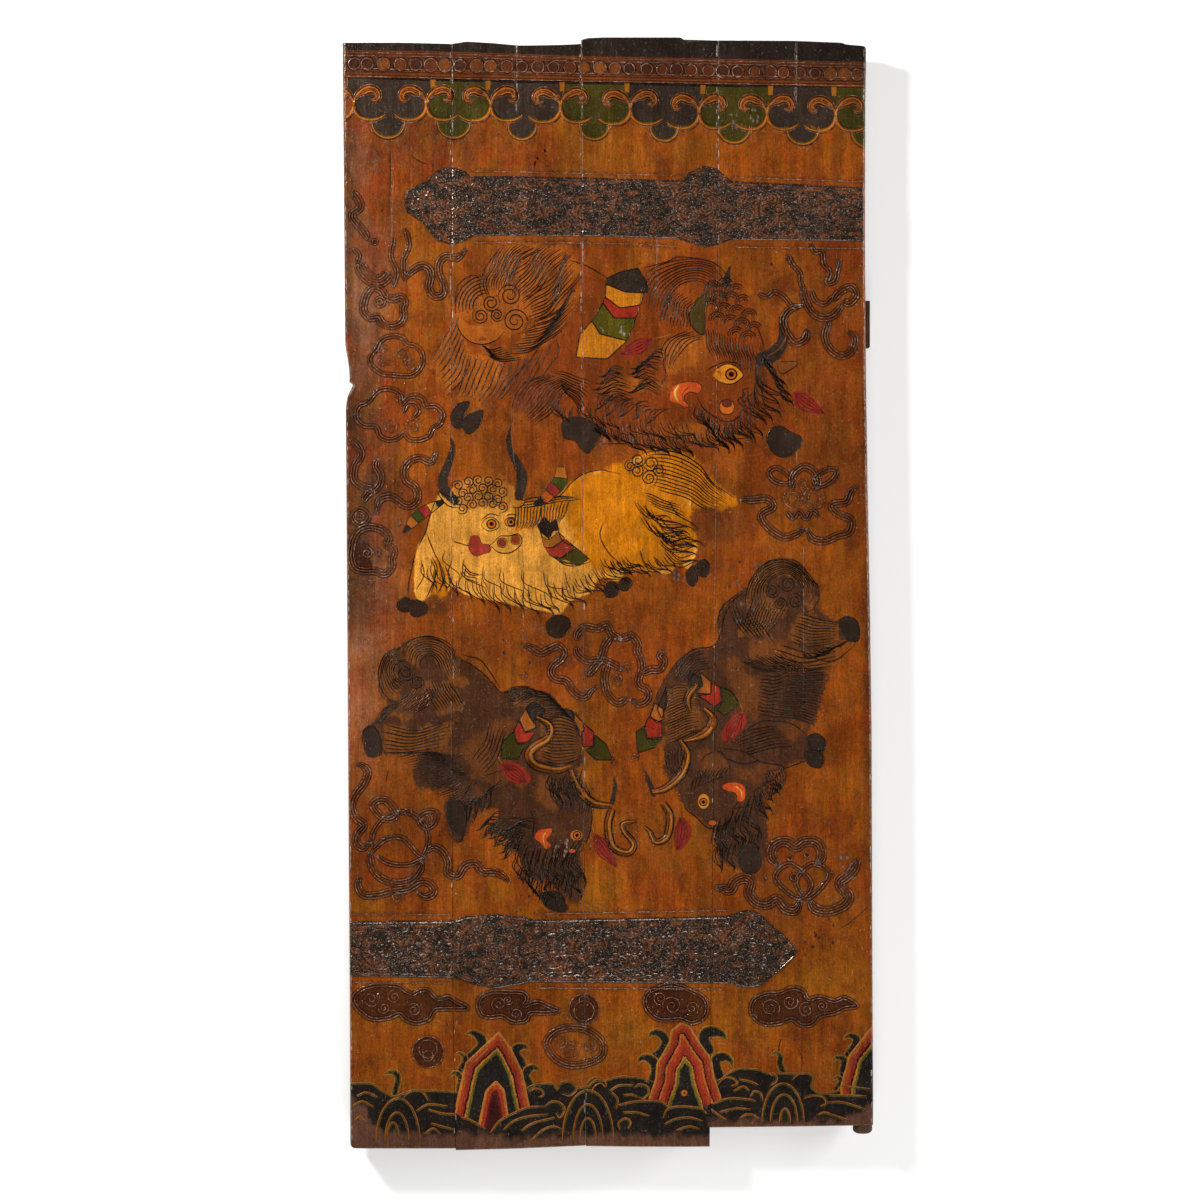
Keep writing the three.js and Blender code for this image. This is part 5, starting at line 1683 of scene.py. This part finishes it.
EMBLEMS = {
    "left flame": (3, 0, ((352, 190), (361, 206), (352, 216), (364, 232), (369, 241))),
    "left shell": (5, 0, ((359, 262), (364, 273), (372, 280), (381, 281), (390, 273))),
    "left squiggle": (2, 0, ((353, 248), (359, 255), (358, 263), (367, 268))),
    "left tongues": (2, 0, ((394, 238), (391, 256), (397, 272), (393, 288))),
    "left tongue two": (2, 0, ((405, 228), (409, 245), (403, 262), (405, 281))),
    "left long ribbon": (3, 0,
        ((405, 279), (412, 271), (420, 266), (427, 267), (431, 274), (429, 287), (434, 296), (442, 295),
        (444, 286), (439, 274), (439, 263), (446, 256), (457, 258), (466, 249))),
    "left knot": (3, 1,
        ((364, 303), (364, 312), (370, 318), (378, 317), (382, 323), (391, 326), (400, 323), (404, 316),
        (403, 309), (405, 302), (401, 297), (394, 299), (386, 297), (381, 290), (373, 288), (367, 294))),
    "left knot heart": (2, 1, ((376, 302), (380, 298), (384, 302), (380, 306))),
    "left small cloud": (2, 1,
        ((371, 356), (370, 362), (375, 369), (383, 374), (393, 375), (404, 376), (413, 375), (420, 369),
        (423, 360), (421, 351), (415, 346), (407, 344), (403, 338), (394, 336), (385, 338), (379, 343),
        (377, 348))),
    "left cloud": (2, 1,
        ((356, 414), (359, 406), (368, 402), (378, 391), (390, 389), (400, 394), (402, 404), (407, 398),
        (415, 396), (423, 399), (426, 406), (436, 406), (443, 414), (440, 424), (433, 428), (429, 436),
        (419, 440), (409, 439), (404, 433), (398, 438), (388, 440), (380, 436), (376, 427), (365, 426),
        (358, 421))),
    "left cloud loop": (2, 0, ((404, 413), (407, 405), (415, 404), (419, 411), (414, 417))),
    "left ribbon one": (3, 0,
        ((350, 438), (359, 448), (361, 456), (355, 466), (354, 479), (363, 487), (371, 489), (374, 495))),
    "left ribbon two": (3, 0, ((378, 458), (376, 466), (381, 476), (378, 487), (368, 494), (363, 502))),
    "left ribbon three": (3, 0,
        ((436, 453), (431, 462), (420, 458), (409, 462), (404, 471), (407, 481), (415, 487), (418, 495),
        (415, 503), (406, 506), (392, 497), (381, 499), (377, 507), (377, 514))),
    "left rosette": (2, 1, ((352, 517), (360, 509), (369, 517), (360, 525))),
    "left jewel": (3, 1,
        ((354, 538), (360, 530), (370, 527), (382, 530), (389, 538), (387, 545), (394, 550), (392, 559),
        (392, 567), (385, 574), (375, 571), (364, 571), (355, 568), (351, 558), (352, 547))),
    "right shell": (3, 0, ((802, 288), (806, 302), (813, 313), (823, 318), (834, 315), (842, 305))),
    "right inner shell": (2, 0, ((811, 290), (816, 301), (825, 304), (833, 296))),
    "right path": (2, 0, ((788, 255), (793, 265), (800, 273), (801, 283), (806, 293))),
    "right squiggle": (2, 0,
        ((810, 242), (815, 252), (822, 252), (824, 264), (830, 272), (827, 283), (835, 281), (838, 270),
        (841, 259))),
    "right left hook": (3, 0,
        ((801, 305), (789, 310), (783, 320), (787, 333), (795, 343), (805, 339), (807, 329))),
    "right right hook": (3, 0,
        ((830, 321), (825, 335), (830, 349), (842, 356), (852, 350), (855, 338), (848, 331))),
    "right flourish": (2, 0, ((757, 293), (766, 297), (775, 292), (785, 298), (793, 307), (803, 305))),
    "right lobe": (3, 0, ((832, 301), (840, 292), (851, 287), (856, 295), (849, 303), (842, 300))),
    "petal left": (2, 1, ((769, 472), (777, 468), (787, 474), (792, 482), (783, 484), (773, 480))),
    "petal right": (2, 1, ((814, 481), (820, 473), (830, 469), (837, 471), (832, 480), (821, 486))),
    "petal heart": (3, 0,
        ((792, 488), (793, 476), (799, 469), (806, 467), (814, 472), (818, 482), (816, 490))),
    "scallops": (2, 0, ((786, 511), (793, 518), (799, 511), (806, 519), (812, 511), (820, 517))),
    "petal ribbon left": (3, 0,
        ((740, 499), (751, 500), (767, 499), (773, 507), (761, 515), (768, 527), (783, 537), (796, 534),
        (804, 528))),
    "petal ribbon right": (3, 0,
        ((806, 528), (813, 539), (825, 541), (837, 536), (849, 532), (851, 520), (837, 513), (832, 505),
        (846, 502), (851, 492), (857, 485))),
    "knot long ribbon": (3, 0,
        ((522, 645), (530, 647), (540, 653), (548, 650), (558, 646), (564, 653), (560, 660), (553, 666),
        (551, 673), (556, 679), (566, 681), (571, 688), (577, 695), (585, 697), (591, 690), (598, 686))),
    "knot top": (3, 0,
        ((576, 640), (578, 632), (586, 627), (597, 629), (607, 625), (612, 634), (622, 640))),
    "knot cross one": (3, 0, ((576, 646), (578, 654), (588, 661), (602, 660), (614, 665), (622, 670))),
    "knot cross two": (3, 0, ((612, 636), (605, 646), (602, 657), (594, 668), (586, 676))),
    "knot right loop": (3, 0,
        ((614, 640), (624, 638), (632, 636), (638, 644), (637, 651), (641, 660), (642, 669), (639, 677),
        (639, 685), (647, 690), (648, 698), (640, 704), (630, 699))),
    "knot low loop": (3, 0, ((609, 662), (605, 673), (605, 685), (609, 696), (618, 703), (628, 698))),
    "knot tail": (3, 0, ((642, 674), (650, 670), (660, 669), (664, 661), (660, 656), (664, 652))),
    "wheel ribbon left": (3, 0,
        ((356, 764), (363, 766), (368, 773), (363, 785), (356, 794), (352, 806), (356, 818), (364, 825),
        (358, 833), (356, 842), (363, 848), (370, 841))),
    "wheel petal": (3, 1, ((373, 806), (379, 800), (388, 802), (396, 814), (390, 819), (382, 817))),
    "wheel pearl": (2, 1, ((418, 818), (426, 811), (437, 813), (434, 824), (425, 828))),
    "wheel": (2, 0,
        ((372, 848), (373, 834), (381, 821), (394, 813), (409, 813), (421, 821), (428, 834), (427, 848),
        (420, 860))),
    "wheel lip": (2, 0,
        ((371, 853), (379, 844), (389, 838), (402, 838), (411, 846), (418, 854), (428, 859))),
    "wheel fold": (2, 0, ((377, 856), (388, 863), (400, 865), (411, 864), (424, 858))),
    "wheel bowl": (3, 0,
        ((370, 852), (372, 867), (381, 878), (396, 883), (411, 880), (420, 870), (423, 861))),
    "wheel foot": (3, 0,
        ((360, 876), (358, 886), (364, 895), (378, 895), (390, 892), (408, 889), (420, 882), (430, 884),
        (434, 892), (426, 897), (417, 892))),
    "wheel ribbon right": (3, 0,
        ((426, 852), (434, 847), (443, 852), (448, 862), (448, 873), (458, 876), (465, 866), (476, 864),
        (483, 872), (492, 872), (500, 874), (510, 882))),
    "heart": (4, 0,
        ((779, 866), (772, 857), (773, 847), (780, 842), (788, 842), (796, 847), (804, 842), (815, 842),
        (821, 849), (821, 858), (816, 865))),
    "lozenge one": (2, 1, ((775, 878), (790, 864), (811, 883), (798, 898))),
    "lozenge two": (2, 1, ((829, 875), (812, 864), (796, 881), (808, 898))),
    "heart ribbon left": (4, 0,
        ((715, 887), (722, 888), (730, 890), (735, 882), (744, 878), (751, 882), (749, 893), (757, 903),
        (768, 904), (777, 899), (785, 908), (795, 910), (801, 900))),
    "heart ribbon right": (4, 0,
        ((808, 899), (816, 909), (829, 911), (844, 905), (849, 896), (842, 888), (840, 882), (847, 876),
        (853, 870), (859, 859))),
    "sky cloud left": (2, 1,
        ((353, 999), (359, 991), (370, 986), (384, 985), (398, 986), (406, 991), (413, 994), (421, 990),
        (429, 991), (437, 999), (448, 997), (457, 1002), (468, 1008), (457, 1009), (445, 1009), (435, 1010),
        (429, 1019), (416, 1023), (405, 1019), (399, 1014), (388, 1018), (372, 1019), (362, 1013),
        (356, 1007))),
    "sky cloud middle": (2, 1,
        ((478, 1006), (481, 997), (491, 992), (507, 992), (523, 993), (527, 999), (524, 1006), (537, 1002),
        (550, 1007), (559, 1011), (545, 1013), (530, 1013), (526, 1020), (513, 1022), (502, 1016),
        (491, 1017), (482, 1015))),
    "sky cloud round": (2, 1,
        ((645, 1003), (647, 994), (655, 989), (666, 985), (680, 986), (691, 991), (704, 998), (707, 1010),
        (702, 1019), (691, 1023), (680, 1019), (669, 1020), (658, 1019), (649, 1012))),
    "sky cloud right": (2, 1,
        ((751, 1010), (754, 1000), (765, 994), (779, 993), (792, 988), (803, 991), (808, 999), (820, 997),
        (834, 1001), (845, 998), (857, 1006), (845, 1008), (834, 1013), (820, 1016), (812, 1024),
        (801, 1025), (792, 1019), (779, 1023), (765, 1024), (755, 1018))),
    "sky shell": (3, 1,
        ((547, 1045), (550, 1036), (561, 1029), (577, 1028), (591, 1032), (602, 1042), (602, 1055),
        (588, 1063), (570, 1065), (555, 1058))),
}
FILLED = ("sky cloud left", "sky cloud middle", "sky cloud round", "sky cloud right")
RAISED_RINGS = ((524, 676, 2.4), (398, 523, 2.4), (793, 498, 9.5), (793, 498, 5.5), (814, 498, 10.5),
    (814, 498, 6), (802, 484, 3.5), (408, 812, 3.5), (790, 858, 2.4), (807, 855, 2.4), (794, 877, 3.6),
    (764, 879, 2), (832, 874, 2), (584, 1009, 15), (584, 1001, 5), (584, 1011, 10), (428, 1052, 15.5),
    (428, 1049, 9), (428, 1056, 5), (375, 242, 2.6), (789, 258, 2.4), (635, 757, 2.6), (614, 761, 2.6))
RAISED_SPIRALS = ((390, 425, 7.5), (413, 426, 8), (367, 553, 6), (377, 552, 4), (360, 517, 5),
    (428, 819, 5.5), (618, 679, 6), (626, 668, 5), (371, 999, 9), (394, 997, 7), (414, 1010, 7),
    (384, 1008, 6), (499, 1004, 8), (516, 1014, 6), (508, 1000, 5), (573, 1052, 10), (590, 1046, 7),
    (562, 1042, 7), (672, 1006, 10), (692, 1008, 8), (660, 998, 7), (770, 1008, 10), (790, 1002, 8),
    (806, 1010, 8), (822, 1006, 6), (398, 896, 6), (384, 362, 6), (402, 354, 7), (410, 364, 6),
    (382, 350, 5))
DARK_BALLS = ((584, 1009, 15), (428, 1052, 15.5), (375, 242, 4), (789, 258, 3.6), (794, 877, 5),
    (790, 858, 3), (807, 855, 3), (360, 552, 12), (365, 566, 8))
CURL_WIDTH, CURL_HEIGHT = 2.4, 1.3


def emblems():
    """Every raised emblem: ribbons, knots, shells and clouds of parallel ridges, with rings and spirals.

    Each run of ridges is (how many side by side, 1 where it closes on itself, its points).
    """
    for name, (count, closed, points) in EMBLEMS.items():
        ridges(points, count, bool(closed))
        if name in FILLED:
            area("cloud", points, smoothed=True)
    for x, y, radius in RAISED_RINGS:
        gesso(ring(x, y, radius), CURL_WIDTH, CURL_HEIGHT, raw=True)
        soot(ring(x, y, radius), 1.2)
    for k, (x, y, radius) in enumerate(RAISED_SPIRALS):
        curl = spiral(x, y, radius, 1.7, 50 * k, 1 if k % 2 else -1)
        gesso(curl, CURL_WIDTH, CURL_HEIGHT, raw=True)
        soot(curl, 1.5)
    for x, y, radius in DARK_BALLS:
        area("cloud", ring(x, y, radius)[:-1])


# The foot of the leaf: hills, wave crests and water

HILLS = {
    "hill": (((445, 1165), (456, 1107), (461, 1084), (466, 1063), (499, 1032), (511, 1049), (522, 1072),
        (529, 1106), (541, 1165)),
        ((836, 1165), (841, 1095), (841, 1086), (846, 1069), (849, 1056), (860, 1042), (871, 1028),
        (884, 1014), (900, 1165))),
    "stepped_hill": (((636, 1165), (649, 1099), (656, 1079), (657, 1064), (663, 1054), (670, 1041),
        (671, 1031), (681, 1023), (689, 1026), (700, 1044), (711, 1059), (714, 1078), (721, 1098),
        (738, 1165)),),
    "hill_core": (
        ((470, 1165), (479, 1124), (486, 1091), (496, 1081), (504, 1090), (508, 1116), (516, 1165)),),
}
SEA_TOP = ((340, 1083), (353, 1083), (371, 1083), (383, 1091), (395, 1096), (405, 1092), (419, 1090),
    (448, 1091), (460, 1092), (526, 1088), (536, 1084), (553, 1083), (557, 1088), (562, 1082), (572, 1082),
    (578, 1087), (588, 1086), (595, 1080), (606, 1080), (620, 1076), (643, 1078), (654, 1082), (714, 1082),
    (722, 1078), (729, 1072), (740, 1068), (757, 1069), (769, 1073), (784, 1073), (800, 1073), (810, 1073),
    (814, 1079), (812, 1087), (822, 1093), (836, 1091), (844, 1086), (880, 1090))
FRONT = ((340, 1114), (450, 1110), (461, 1117), (471, 1120), (486, 1129), (490, 1131), (499, 1121),
    (513, 1113), (528, 1107), (546, 1106), (600, 1110), (617, 1105), (636, 1101), (660, 1101), (669, 1108),
    (680, 1106), (700, 1108), (711, 1104), (729, 1098), (800, 1100), (828, 1095), (850, 1095), (880, 1097),
    (880, 1165), (340, 1165))
WORN = ((340, 1098), (362, 1106), (380, 1128), (430, 1136), (470, 1134), (520, 1138), (600, 1134),
    (640, 1136), (712, 1134), (716, 1121), (800, 1122), (850, 1118), (880, 1104), (880, 1165), (340, 1165))
CRESTS = ((11, ((465, 1034), (473, 1033), (481, 1039), (482, 1046), (476, 1053), (468, 1060))),
    (7, ((454, 1055), (461, 1054), (465, 1060), (462, 1068), (458, 1074))),
    (8, ((448, 1078), (455, 1073), (461, 1079), (459, 1090))),
    (7, ((383, 1077), (387, 1073), (395, 1073), (398, 1079), (396, 1088), (394, 1096))),
    (10, ((531, 1051), (525, 1047), (517, 1048), (516, 1055), (521, 1062), (524, 1069))),
    (9, ((540, 1074), (536, 1068), (529, 1069), (526, 1077), (530, 1085))),
    (8, ((606, 1087), (602, 1081), (595, 1081), (589, 1087), (588, 1094))),
    (10, ((648, 1040), (651, 1034), (658, 1033), (665, 1039), (664, 1048), (656, 1056))),
    (10, ((638, 1065), (640, 1059), (647, 1058), (654, 1063), (655, 1072), (652, 1081))),
    (12, ((726, 1042), (724, 1036), (715, 1032), (706, 1033), (704, 1040), (709, 1050))),
    (11, ((733, 1068), (730, 1060), (723, 1057), (716, 1060), (717, 1070), (721, 1080))),
    (7, ((770, 1057), (774, 1053), (780, 1056), (780, 1064), (784, 1073))),
    (9, ((843, 1040), (848, 1036), (856, 1038), (855, 1046), (848, 1054))),
    (8, ((832, 1063), (836, 1058), (844, 1060), (843, 1069), (842, 1077))),
    (7, ((832, 1081), (837, 1077), (841, 1082), (836, 1090))))
ARCHES = ((398, 1098, 22, 42), (397, 1112, 12, 28), (393, 1122, 6, 14), (588, 1090, 25.5, 48),
    (588, 1104, 15, 34), (588, 1118, 8, 18), (783, 1083, 21, 38), (784, 1094, 13.5, 26),
    (785, 1108, 5.5, 14))
SWELLS = (((538, 1097), (543, 1095), (541, 1090), (534, 1089), (528, 1093)),
    ((556, 1091), (562, 1082), (571, 1082), (577, 1089), (570, 1096), (562, 1094)),
    ((545, 1106), (552, 1101), (561, 1103), (565, 1110), (560, 1118), (556, 1113)),
    ((428, 1101), (424, 1094), (415, 1090), (406, 1095), (403, 1100)),
    ((634, 1088), (639, 1084), (647, 1086), (649, 1093), (643, 1099), (637, 1096)),
    ((620, 1130), (618, 1123), (625, 1118), (631, 1122), (628, 1129)),
    ((731, 1086), (737, 1083), (731, 1078), (723, 1079), (717, 1086)),
    ((770, 1074), (776, 1075), (777, 1081), (770, 1086)),
    ((750, 1097), (754, 1091), (761, 1093), (763, 1101)),
    ((820, 1106), (826, 1103), (822, 1097), (812, 1096), (803, 1099)),
    ((812, 1084), (813, 1077), (807, 1073), (799, 1074), (792, 1080)),
    ((490, 1133), (499, 1121), (513, 1113), (528, 1107), (546, 1106)),
    ((503, 1130), (513, 1121), (528, 1116), (548, 1114)), ((521, 1131), (532, 1123), (555, 1117)),
    ((531, 1140), (542, 1130), (553, 1126), (562, 1129)), ((416, 1111), (428, 1104), (448, 1106)),
    ((428, 1109), (442, 1113), (456, 1114)), ((431, 1123), (442, 1126), (453, 1129)),
    ((461, 1117), (471, 1120), (486, 1129)), ((424, 1134), (433, 1128), (441, 1134)),
    ((356, 1096), (366, 1092), (378, 1097)), ((352, 1106), (362, 1101), (374, 1107)),
    ((354, 1121), (360, 1116), (366, 1122)), ((609, 1091), (619, 1085), (634, 1085)),
    ((623, 1095), (631, 1094), (639, 1097)), ((617, 1105), (636, 1101), (660, 1101), (669, 1108)),
    ((623, 1112), (637, 1112), (650, 1116)), ((612, 1092), (618, 1099), (616, 1110)),
    ((663, 1118), (667, 1109), (680, 1106), (700, 1108), (707, 1114)),
    ((664, 1124), (674, 1119), (689, 1117), (703, 1121)), ((676, 1130), (689, 1126), (700, 1129)),
    ((739, 1079), (750, 1081), (759, 1085)), ((733, 1091), (743, 1086), (750, 1091)),
    ((711, 1104), (729, 1098), (749, 1099), (756, 1101)), ((719, 1112), (736, 1108), (751, 1109)),
    ((740, 1118), (746, 1114), (754, 1115), (759, 1119)), ((711, 1109), (719, 1115), (727, 1120)),
    ((829, 1095), (850, 1095), (867, 1096)), ((827, 1102), (843, 1102), (866, 1109)),
    ((817, 1115), (824, 1112), (834, 1115), (849, 1120)))


def edge_line(points, raw=False):
    """The edge of a wave: a dull orange line with a thin olive one inside it."""
    curve = np.asarray(points, float) if raw else smooth(points)
    line(curve, 2.6, "#A05A1E", start=0.5, end=0.4, lift=0.3, raw=True)
    line(beside(curve, -1.5), 1.5, "#5E581E", lift=0.26, raw=True)


def foot():
    """Hills of nested bands in a dark sea of crests, arches and long swells, edged with orange lines."""
    area("wave", np.vstack((smooth(SEA_TOP), ((880, 1165), (340, 1165)))))
    for points in (SEA_TOP[:9], SEA_TOP[9:22], SEA_TOP[22:]):
        edge_line(points)
    for wide, points in CRESTS:
        widths = wide * np.minimum(1, 0.15 + 0.5 * np.arange(len(points)))
        stroke_area("wave", points, widths)
        curve = smooth(points)
        half = half_widths(widths, len(curve))[:, None]
        for side in (-1, 1):
            line(beside(curve, side * half), 2.4, "#A8641E", start=0.6, lift=0.3, raw=True)
    for layer, outlines in HILLS.items():
        for outline in outlines:
            area(layer, outline)
            edge = resampled(np.array(outline[1:-1], float))
            line(edge, 2.8, "#C67A30", start=1, end=1, lift=0.32, raw=True)
    area("front", FRONT)
    area("worn", WORN, smoothed=True)
    disc(684.3, 1093, 3.2, "#B8641E")
    disc(684.3, 1093, 1.6, "#5A2A16", lift=0.26)
    for points in SWELLS:
        edge_line(points)
    for x, top, half, tall in ARCHES:
        edge_line(arc(x, top + tall, half, 184, -4, tall), raw=True)


# Painted highlights and wear: pale dashes along the joints and sides as painted highlights, and small losses
# in the paint

FLAKES = ((582, 407, 654, 447, 30, "#75645C"), (545, 840, 572, 862, 14, "#8A7A72"),
    (833, 856, 860, 878, 9, "#8A7A72"), (731, 108, 742, 132, 9, "#7A6058"),
    (750, 110, 762, 124, 8, "#7A6058"), (803, 915, 834, 957, 18, "#3A2A26"),
    (366, 142, 380, 172, 12, "#5A4A48"), (534, 148, 548, 166, 6, "#2A1612"),
    (348, 440, 376, 590, 22, "#4A3A36"), (600, 315, 632, 335, 8, "#8A8072"),
    (470, 395, 500, 440, 8, "#5A4C46"), (655, 555, 700, 580, 10, "#7A6C62"),
    (560, 785, 592, 800, 5, "#6A5A52"), (440, 700, 480, 720, 6, "#6A5A52"),
    (735, 560, 765, 625, 16, "#6E6660"), (350, 1100, 870, 1140, 30, "#4E3C34"),
    (350, 150, 870, 1000, 60, "#43302A"), (500, 620, 560, 640, 9, "#5A4C46"))
# Tints of the pale dashes along the joints, which are painted highlights on the rounded joint edges
JOINT_HIGHLIGHT_TINTS = ("#C4B2A2", "#A8968A", "#D2C4B6")
# Tints of the pale dashes along the outer edges, which are painted reflections on the rounded edges
EDGE_HIGHLIGHT_TINTS = ("#9A8478", "#7E6A60", "#B4A296")
EDGE_IN = 3.4
# Stretches of the joints with painted highlight dashes: (joint, from y, to y, chance of a dash)
HIGHLIT_JOINT_STRETCHES = ((0, 45, 330, 0.75), (0, 330, 1140, 0.18), (1, 40, 330, 0.45), (1, 330, 1120, 0.22),
    (2, 45, 250, 0.5), (2, 560, 900, 0.2))
SCRATCHES = (((781, 1039), (779, 1047), (779, 1054)), ((797, 1048), (802, 1057), (803, 1068)),
    ((870, 905), (852, 921), (838, 930)), ((410, 155), (419, 161), (429, 165)), ((352, 176), (352, 200)),
    ((390, 148), (391, 196)), ((388, 770), (386, 782)))


def wear_and_edge_highlights():
    """Seeded marks: pale dashes along the joints and the outer edges that are painted highlights, flakes, and
    a few scratches.
    """
    rng = np.random.default_rng(31)
    # Pale dashes along the joints: painted highlights on their rounded edges
    for joint, start, stop, chance in HIGHLIT_JOINT_STRETCHES:
        for y in np.arange(start, stop, 7.0):
            if rng.uniform() < chance:
                up = (FOOT_PX - np.linspace(y, y + rng.uniform(3, 8), 4)) * PIXEL
                x, ys = in_layout(along(JOINTS[joint], up), up)
                dash = np.column_stack((x + rng.choice((-0.9, 0.9)), ys))
                line(dash, rng.uniform(1.0, 2.2), rng.choice(JOINT_HIGHLIGHT_TINTS), start=0.4, end=0.3, lift=0.16,
                     raw=True)
    # Pale dashes along both outer edges: painted highlights on the rounded edges
    for y in np.arange(46, 1140, 8.0):
        for side, chance in ((0, 0.7), (1, 0.6)):
            if rng.uniform() < chance:
                up = (FOOT_PX - np.linspace(y, y + rng.uniform(4, 9), 4)) * PIXEL
                across = latch_edge(up) + EDGE_IN if side == 0 else along(HINGE_EDGE, up) - EDGE_IN
                dash = np.column_stack(in_layout(across, up))
                line(dash, rng.uniform(1.2, 2.4), rng.choice(EDGE_HIGHLIGHT_TINTS), start=0.4, end=0.3, lift=0.12,
                     raw=True)
    for x0, y0, x1, y1, count, colour in FLAKES:
        for _ in range(count):
            at = rng.uniform((x0, y0), (x1, y1))
            turn = np.linspace(0, 2 * math.pi, 6, endpoint=False)
            reach = rng.uniform(0.5, 1.6) * rng.uniform(0.5, 1.3, 6)
            flake = at + np.column_stack((reach * np.cos(turn), -1.6 * reach * np.sin(turn)))
            if sum(len(part) for part, _ in on_boards(flake)) == len(flake):
                patch(flake, colour, 0.12, smoothed=False)
    for points in SCRATCHES:
        line(points, 1.4, "#2A1812", lift=0.2)


yak_one()
yak_two()
yak_three()
yak_four()
emblems()
foot()
wear_and_edge_highlights()


# Soft patches of other colours in the ground, (x, y, half its width, half its height) each

SOFT_PATCHES = (
    (MUSTARD, 0.5, (
        (582, 150, 36, 22), (562, 125, 14, 20), (425, 262, 24, 40), (505, 905, 34, 20), (600, 900, 26, 34),
        (825, 960, 50, 60), (355, 905, 20, 14), (600, 770, 24, 60), (650, 150, 50, 14), (740, 1010, 60, 24),
        (770, 310, 14, 30), (590, 1030, 60, 24), (690, 860, 20, 30), (430, 1000, 60, 26),
        (545, 600, 40, 20))),
    (RUST, 0.5, (
        (372, 420, 34, 190), (350, 130, 30, 80), (610, 400, 90, 60), (820, 330, 60, 90), (820, 440, 50, 50),
        (600, 660, 80, 45), (380, 840, 50, 60), (520, 160, 40, 30), (840, 240, 60, 40), (800, 880, 60, 50),
        (545, 370, 60, 40), (640, 500, 200, 30), (470, 640, 60, 30))),
    (UMBER, 0.6, (
        (390, 150, 75, 52), (372, 260, 30, 60), (700, 520, 50, 30), (440, 600, 30, 14),
        (400, 130, 80, 30))),
    # Grey along the latch edge: a painted sheen, the reflection of the light on the varnish
    (PAINTED_SHEEN_GREY, 0.6, ((350, 420, 20, 280), (366, 600, 30, 140), (360, 300, 26, 80))),
    # Darker towards the outer edges and the foot of the leaf
    (EDGE_AND_FOOT_DARK, 0.7, (
        (350, 560, 22, 60), (345, 1130, 80, 34), (862, 1120, 60, 26), (600, 1150, 320, 30),
        (346, 300, 8, 260), (870, 600, 7, 300), (360, 460, 30, 70))))


# Every piece, made from what has been gathered

SPLIT_PX = 520
STRIP, STRIP_RISE = (-1, 1, 0), (1, 1, -SUNK)
BEAD, BEAD_RISE = (-1, 0, 1), (-0.5, 1, -0.5)

for i in range(len(BOARD_NAMES)):
    board(i)
for part, above in (("upper", True), ("lower", False)):
    kept = [stroke for stroke in LINES if (stroke[0][:, 1].mean() < SPLIT_PX) == above]
    stroke_mesh("brush_lines_" + part, kept, STRIP, STRIP_RISE, BRUSHED_PAINT)
stroke_mesh("raised_gesso_lines", RELIEF, BEAD, BEAD_RISE, PIPED_GESSO, painted=False)
patch_mesh("painted_details", PATCHES, BRUSHED_PAINT)
strap("strap_band_upper", UPPER_STRAP, 7)
strap("strap_band_lower", LOWER_STRAP, 8)

for batten in ("batten_upper", "batten_lower"):
    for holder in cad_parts[batten].material_slots:
        holder.material = BARE_WOOD


# Floor, light and camera

FLOOR_REACH, FLOOR_GLOW, ROOM_LIGHT = 12.0, 0.36, 0.06


def studio_floor():
    """A broad plain sheet at the height the battens lie on."""
    mesh = bpy.data.meshes.new("studio_floor")
    reach = FLOOR_REACH
    corners = ((-reach, -reach, 0), (reach, -reach, 0), (reach, reach, 0), (-reach, reach, 0))
    mesh.from_pydata(corners, [], [(0, 1, 2, 3)])
    material, tree = new_material("white_backdrop_paper")
    shader = node(tree, PRINCIPLED, {
        "Base Color": "#FCFCFB", "Roughness": 0.95, "Specular IOR Level": 0.0, "Emission Color": "#FFFFFF",
        "Emission Strength": FLOOR_GLOW})
    node(tree, SURFACE, {"Surface": shader})
    mesh.materials.append(material)
    floor = bpy.data.objects.new("studio_floor", mesh)
    bpy.context.scene.collection.objects.link(floor)


def soft_light(name, place, aim, size, power, tint="#FFFFFF"):
    """A soft box, (width, height) in metres, at a place and turned to its aim."""
    lamp = bpy.data.lights.new(name, "AREA")
    lamp.shape = "RECTANGLE"
    lamp.size, lamp.size_y = size
    lamp.energy = power
    lamp.color = linear(tint)
    holder = bpy.data.objects.new(name, lamp)
    bpy.context.scene.collection.objects.link(holder)
    aimed_from(holder, place, aim)


def aimed_from(holder, place, aim):
    """Stand an object at a place with its -Z towards the aim and its +Y near the head of the leaf."""
    place = np.array(place, float)
    back = place - aim
    back /= np.linalg.norm(back)
    right = np.cross((0, 1, 0), back)
    right /= np.linalg.norm(right)
    matrix = np.eye(4)
    matrix[:3, 0], matrix[:3, 1], matrix[:3, 2], matrix[:3, 3] = right, np.cross(back, right), back, place
    holder.matrix_world = matrix.T


LENS, SENSOR, FRAME_PX = 85.0, 36.0, 1200
VIEW_CENTRE = on_leaf((600, 600)) * MM - (0, LEAF_HEIGHT / 2 * MM)

camera_data = bpy.data.cameras.new("camera")
camera_data.lens, camera_data.sensor_width = LENS, SENSOR
camera = bpy.data.objects.new("camera", camera_data)
bpy.context.scene.collection.objects.link(camera)
distance = FRAME_PX * PIXEL * MM * LENS / SENSOR
aimed_from(camera, (*VIEW_CENTRE, FACE_Z * MM + distance), (*VIEW_CENTRE, 0))
bpy.context.scene.camera = camera

studio_floor()
soft_light("window_top_left", (-2.4, 1.9, 1.75), (-0.1, 0.1, 0), (0.5, 0.5), 123, "#FFFDF8")
soft_light("panel_right", (4.2, 0.6, 1.7), (0.2, 0, 0), (0.6, 2.2), 110)
soft_light("panel_foot", (0.3, -5.0, 3.2), (0, 0, 0), (2.0, 1.2), 130)
world = bpy.data.worlds.new("pale_room")
world.use_nodes = True
sky = world.node_tree.nodes["Background"].inputs
sky["Color"].default_value = (1, 1, 1, 1)
sky["Strength"].default_value = ROOM_LIGHT
bpy.context.scene.world = world
bpy.context.scene.view_settings.view_transform = "Standard"
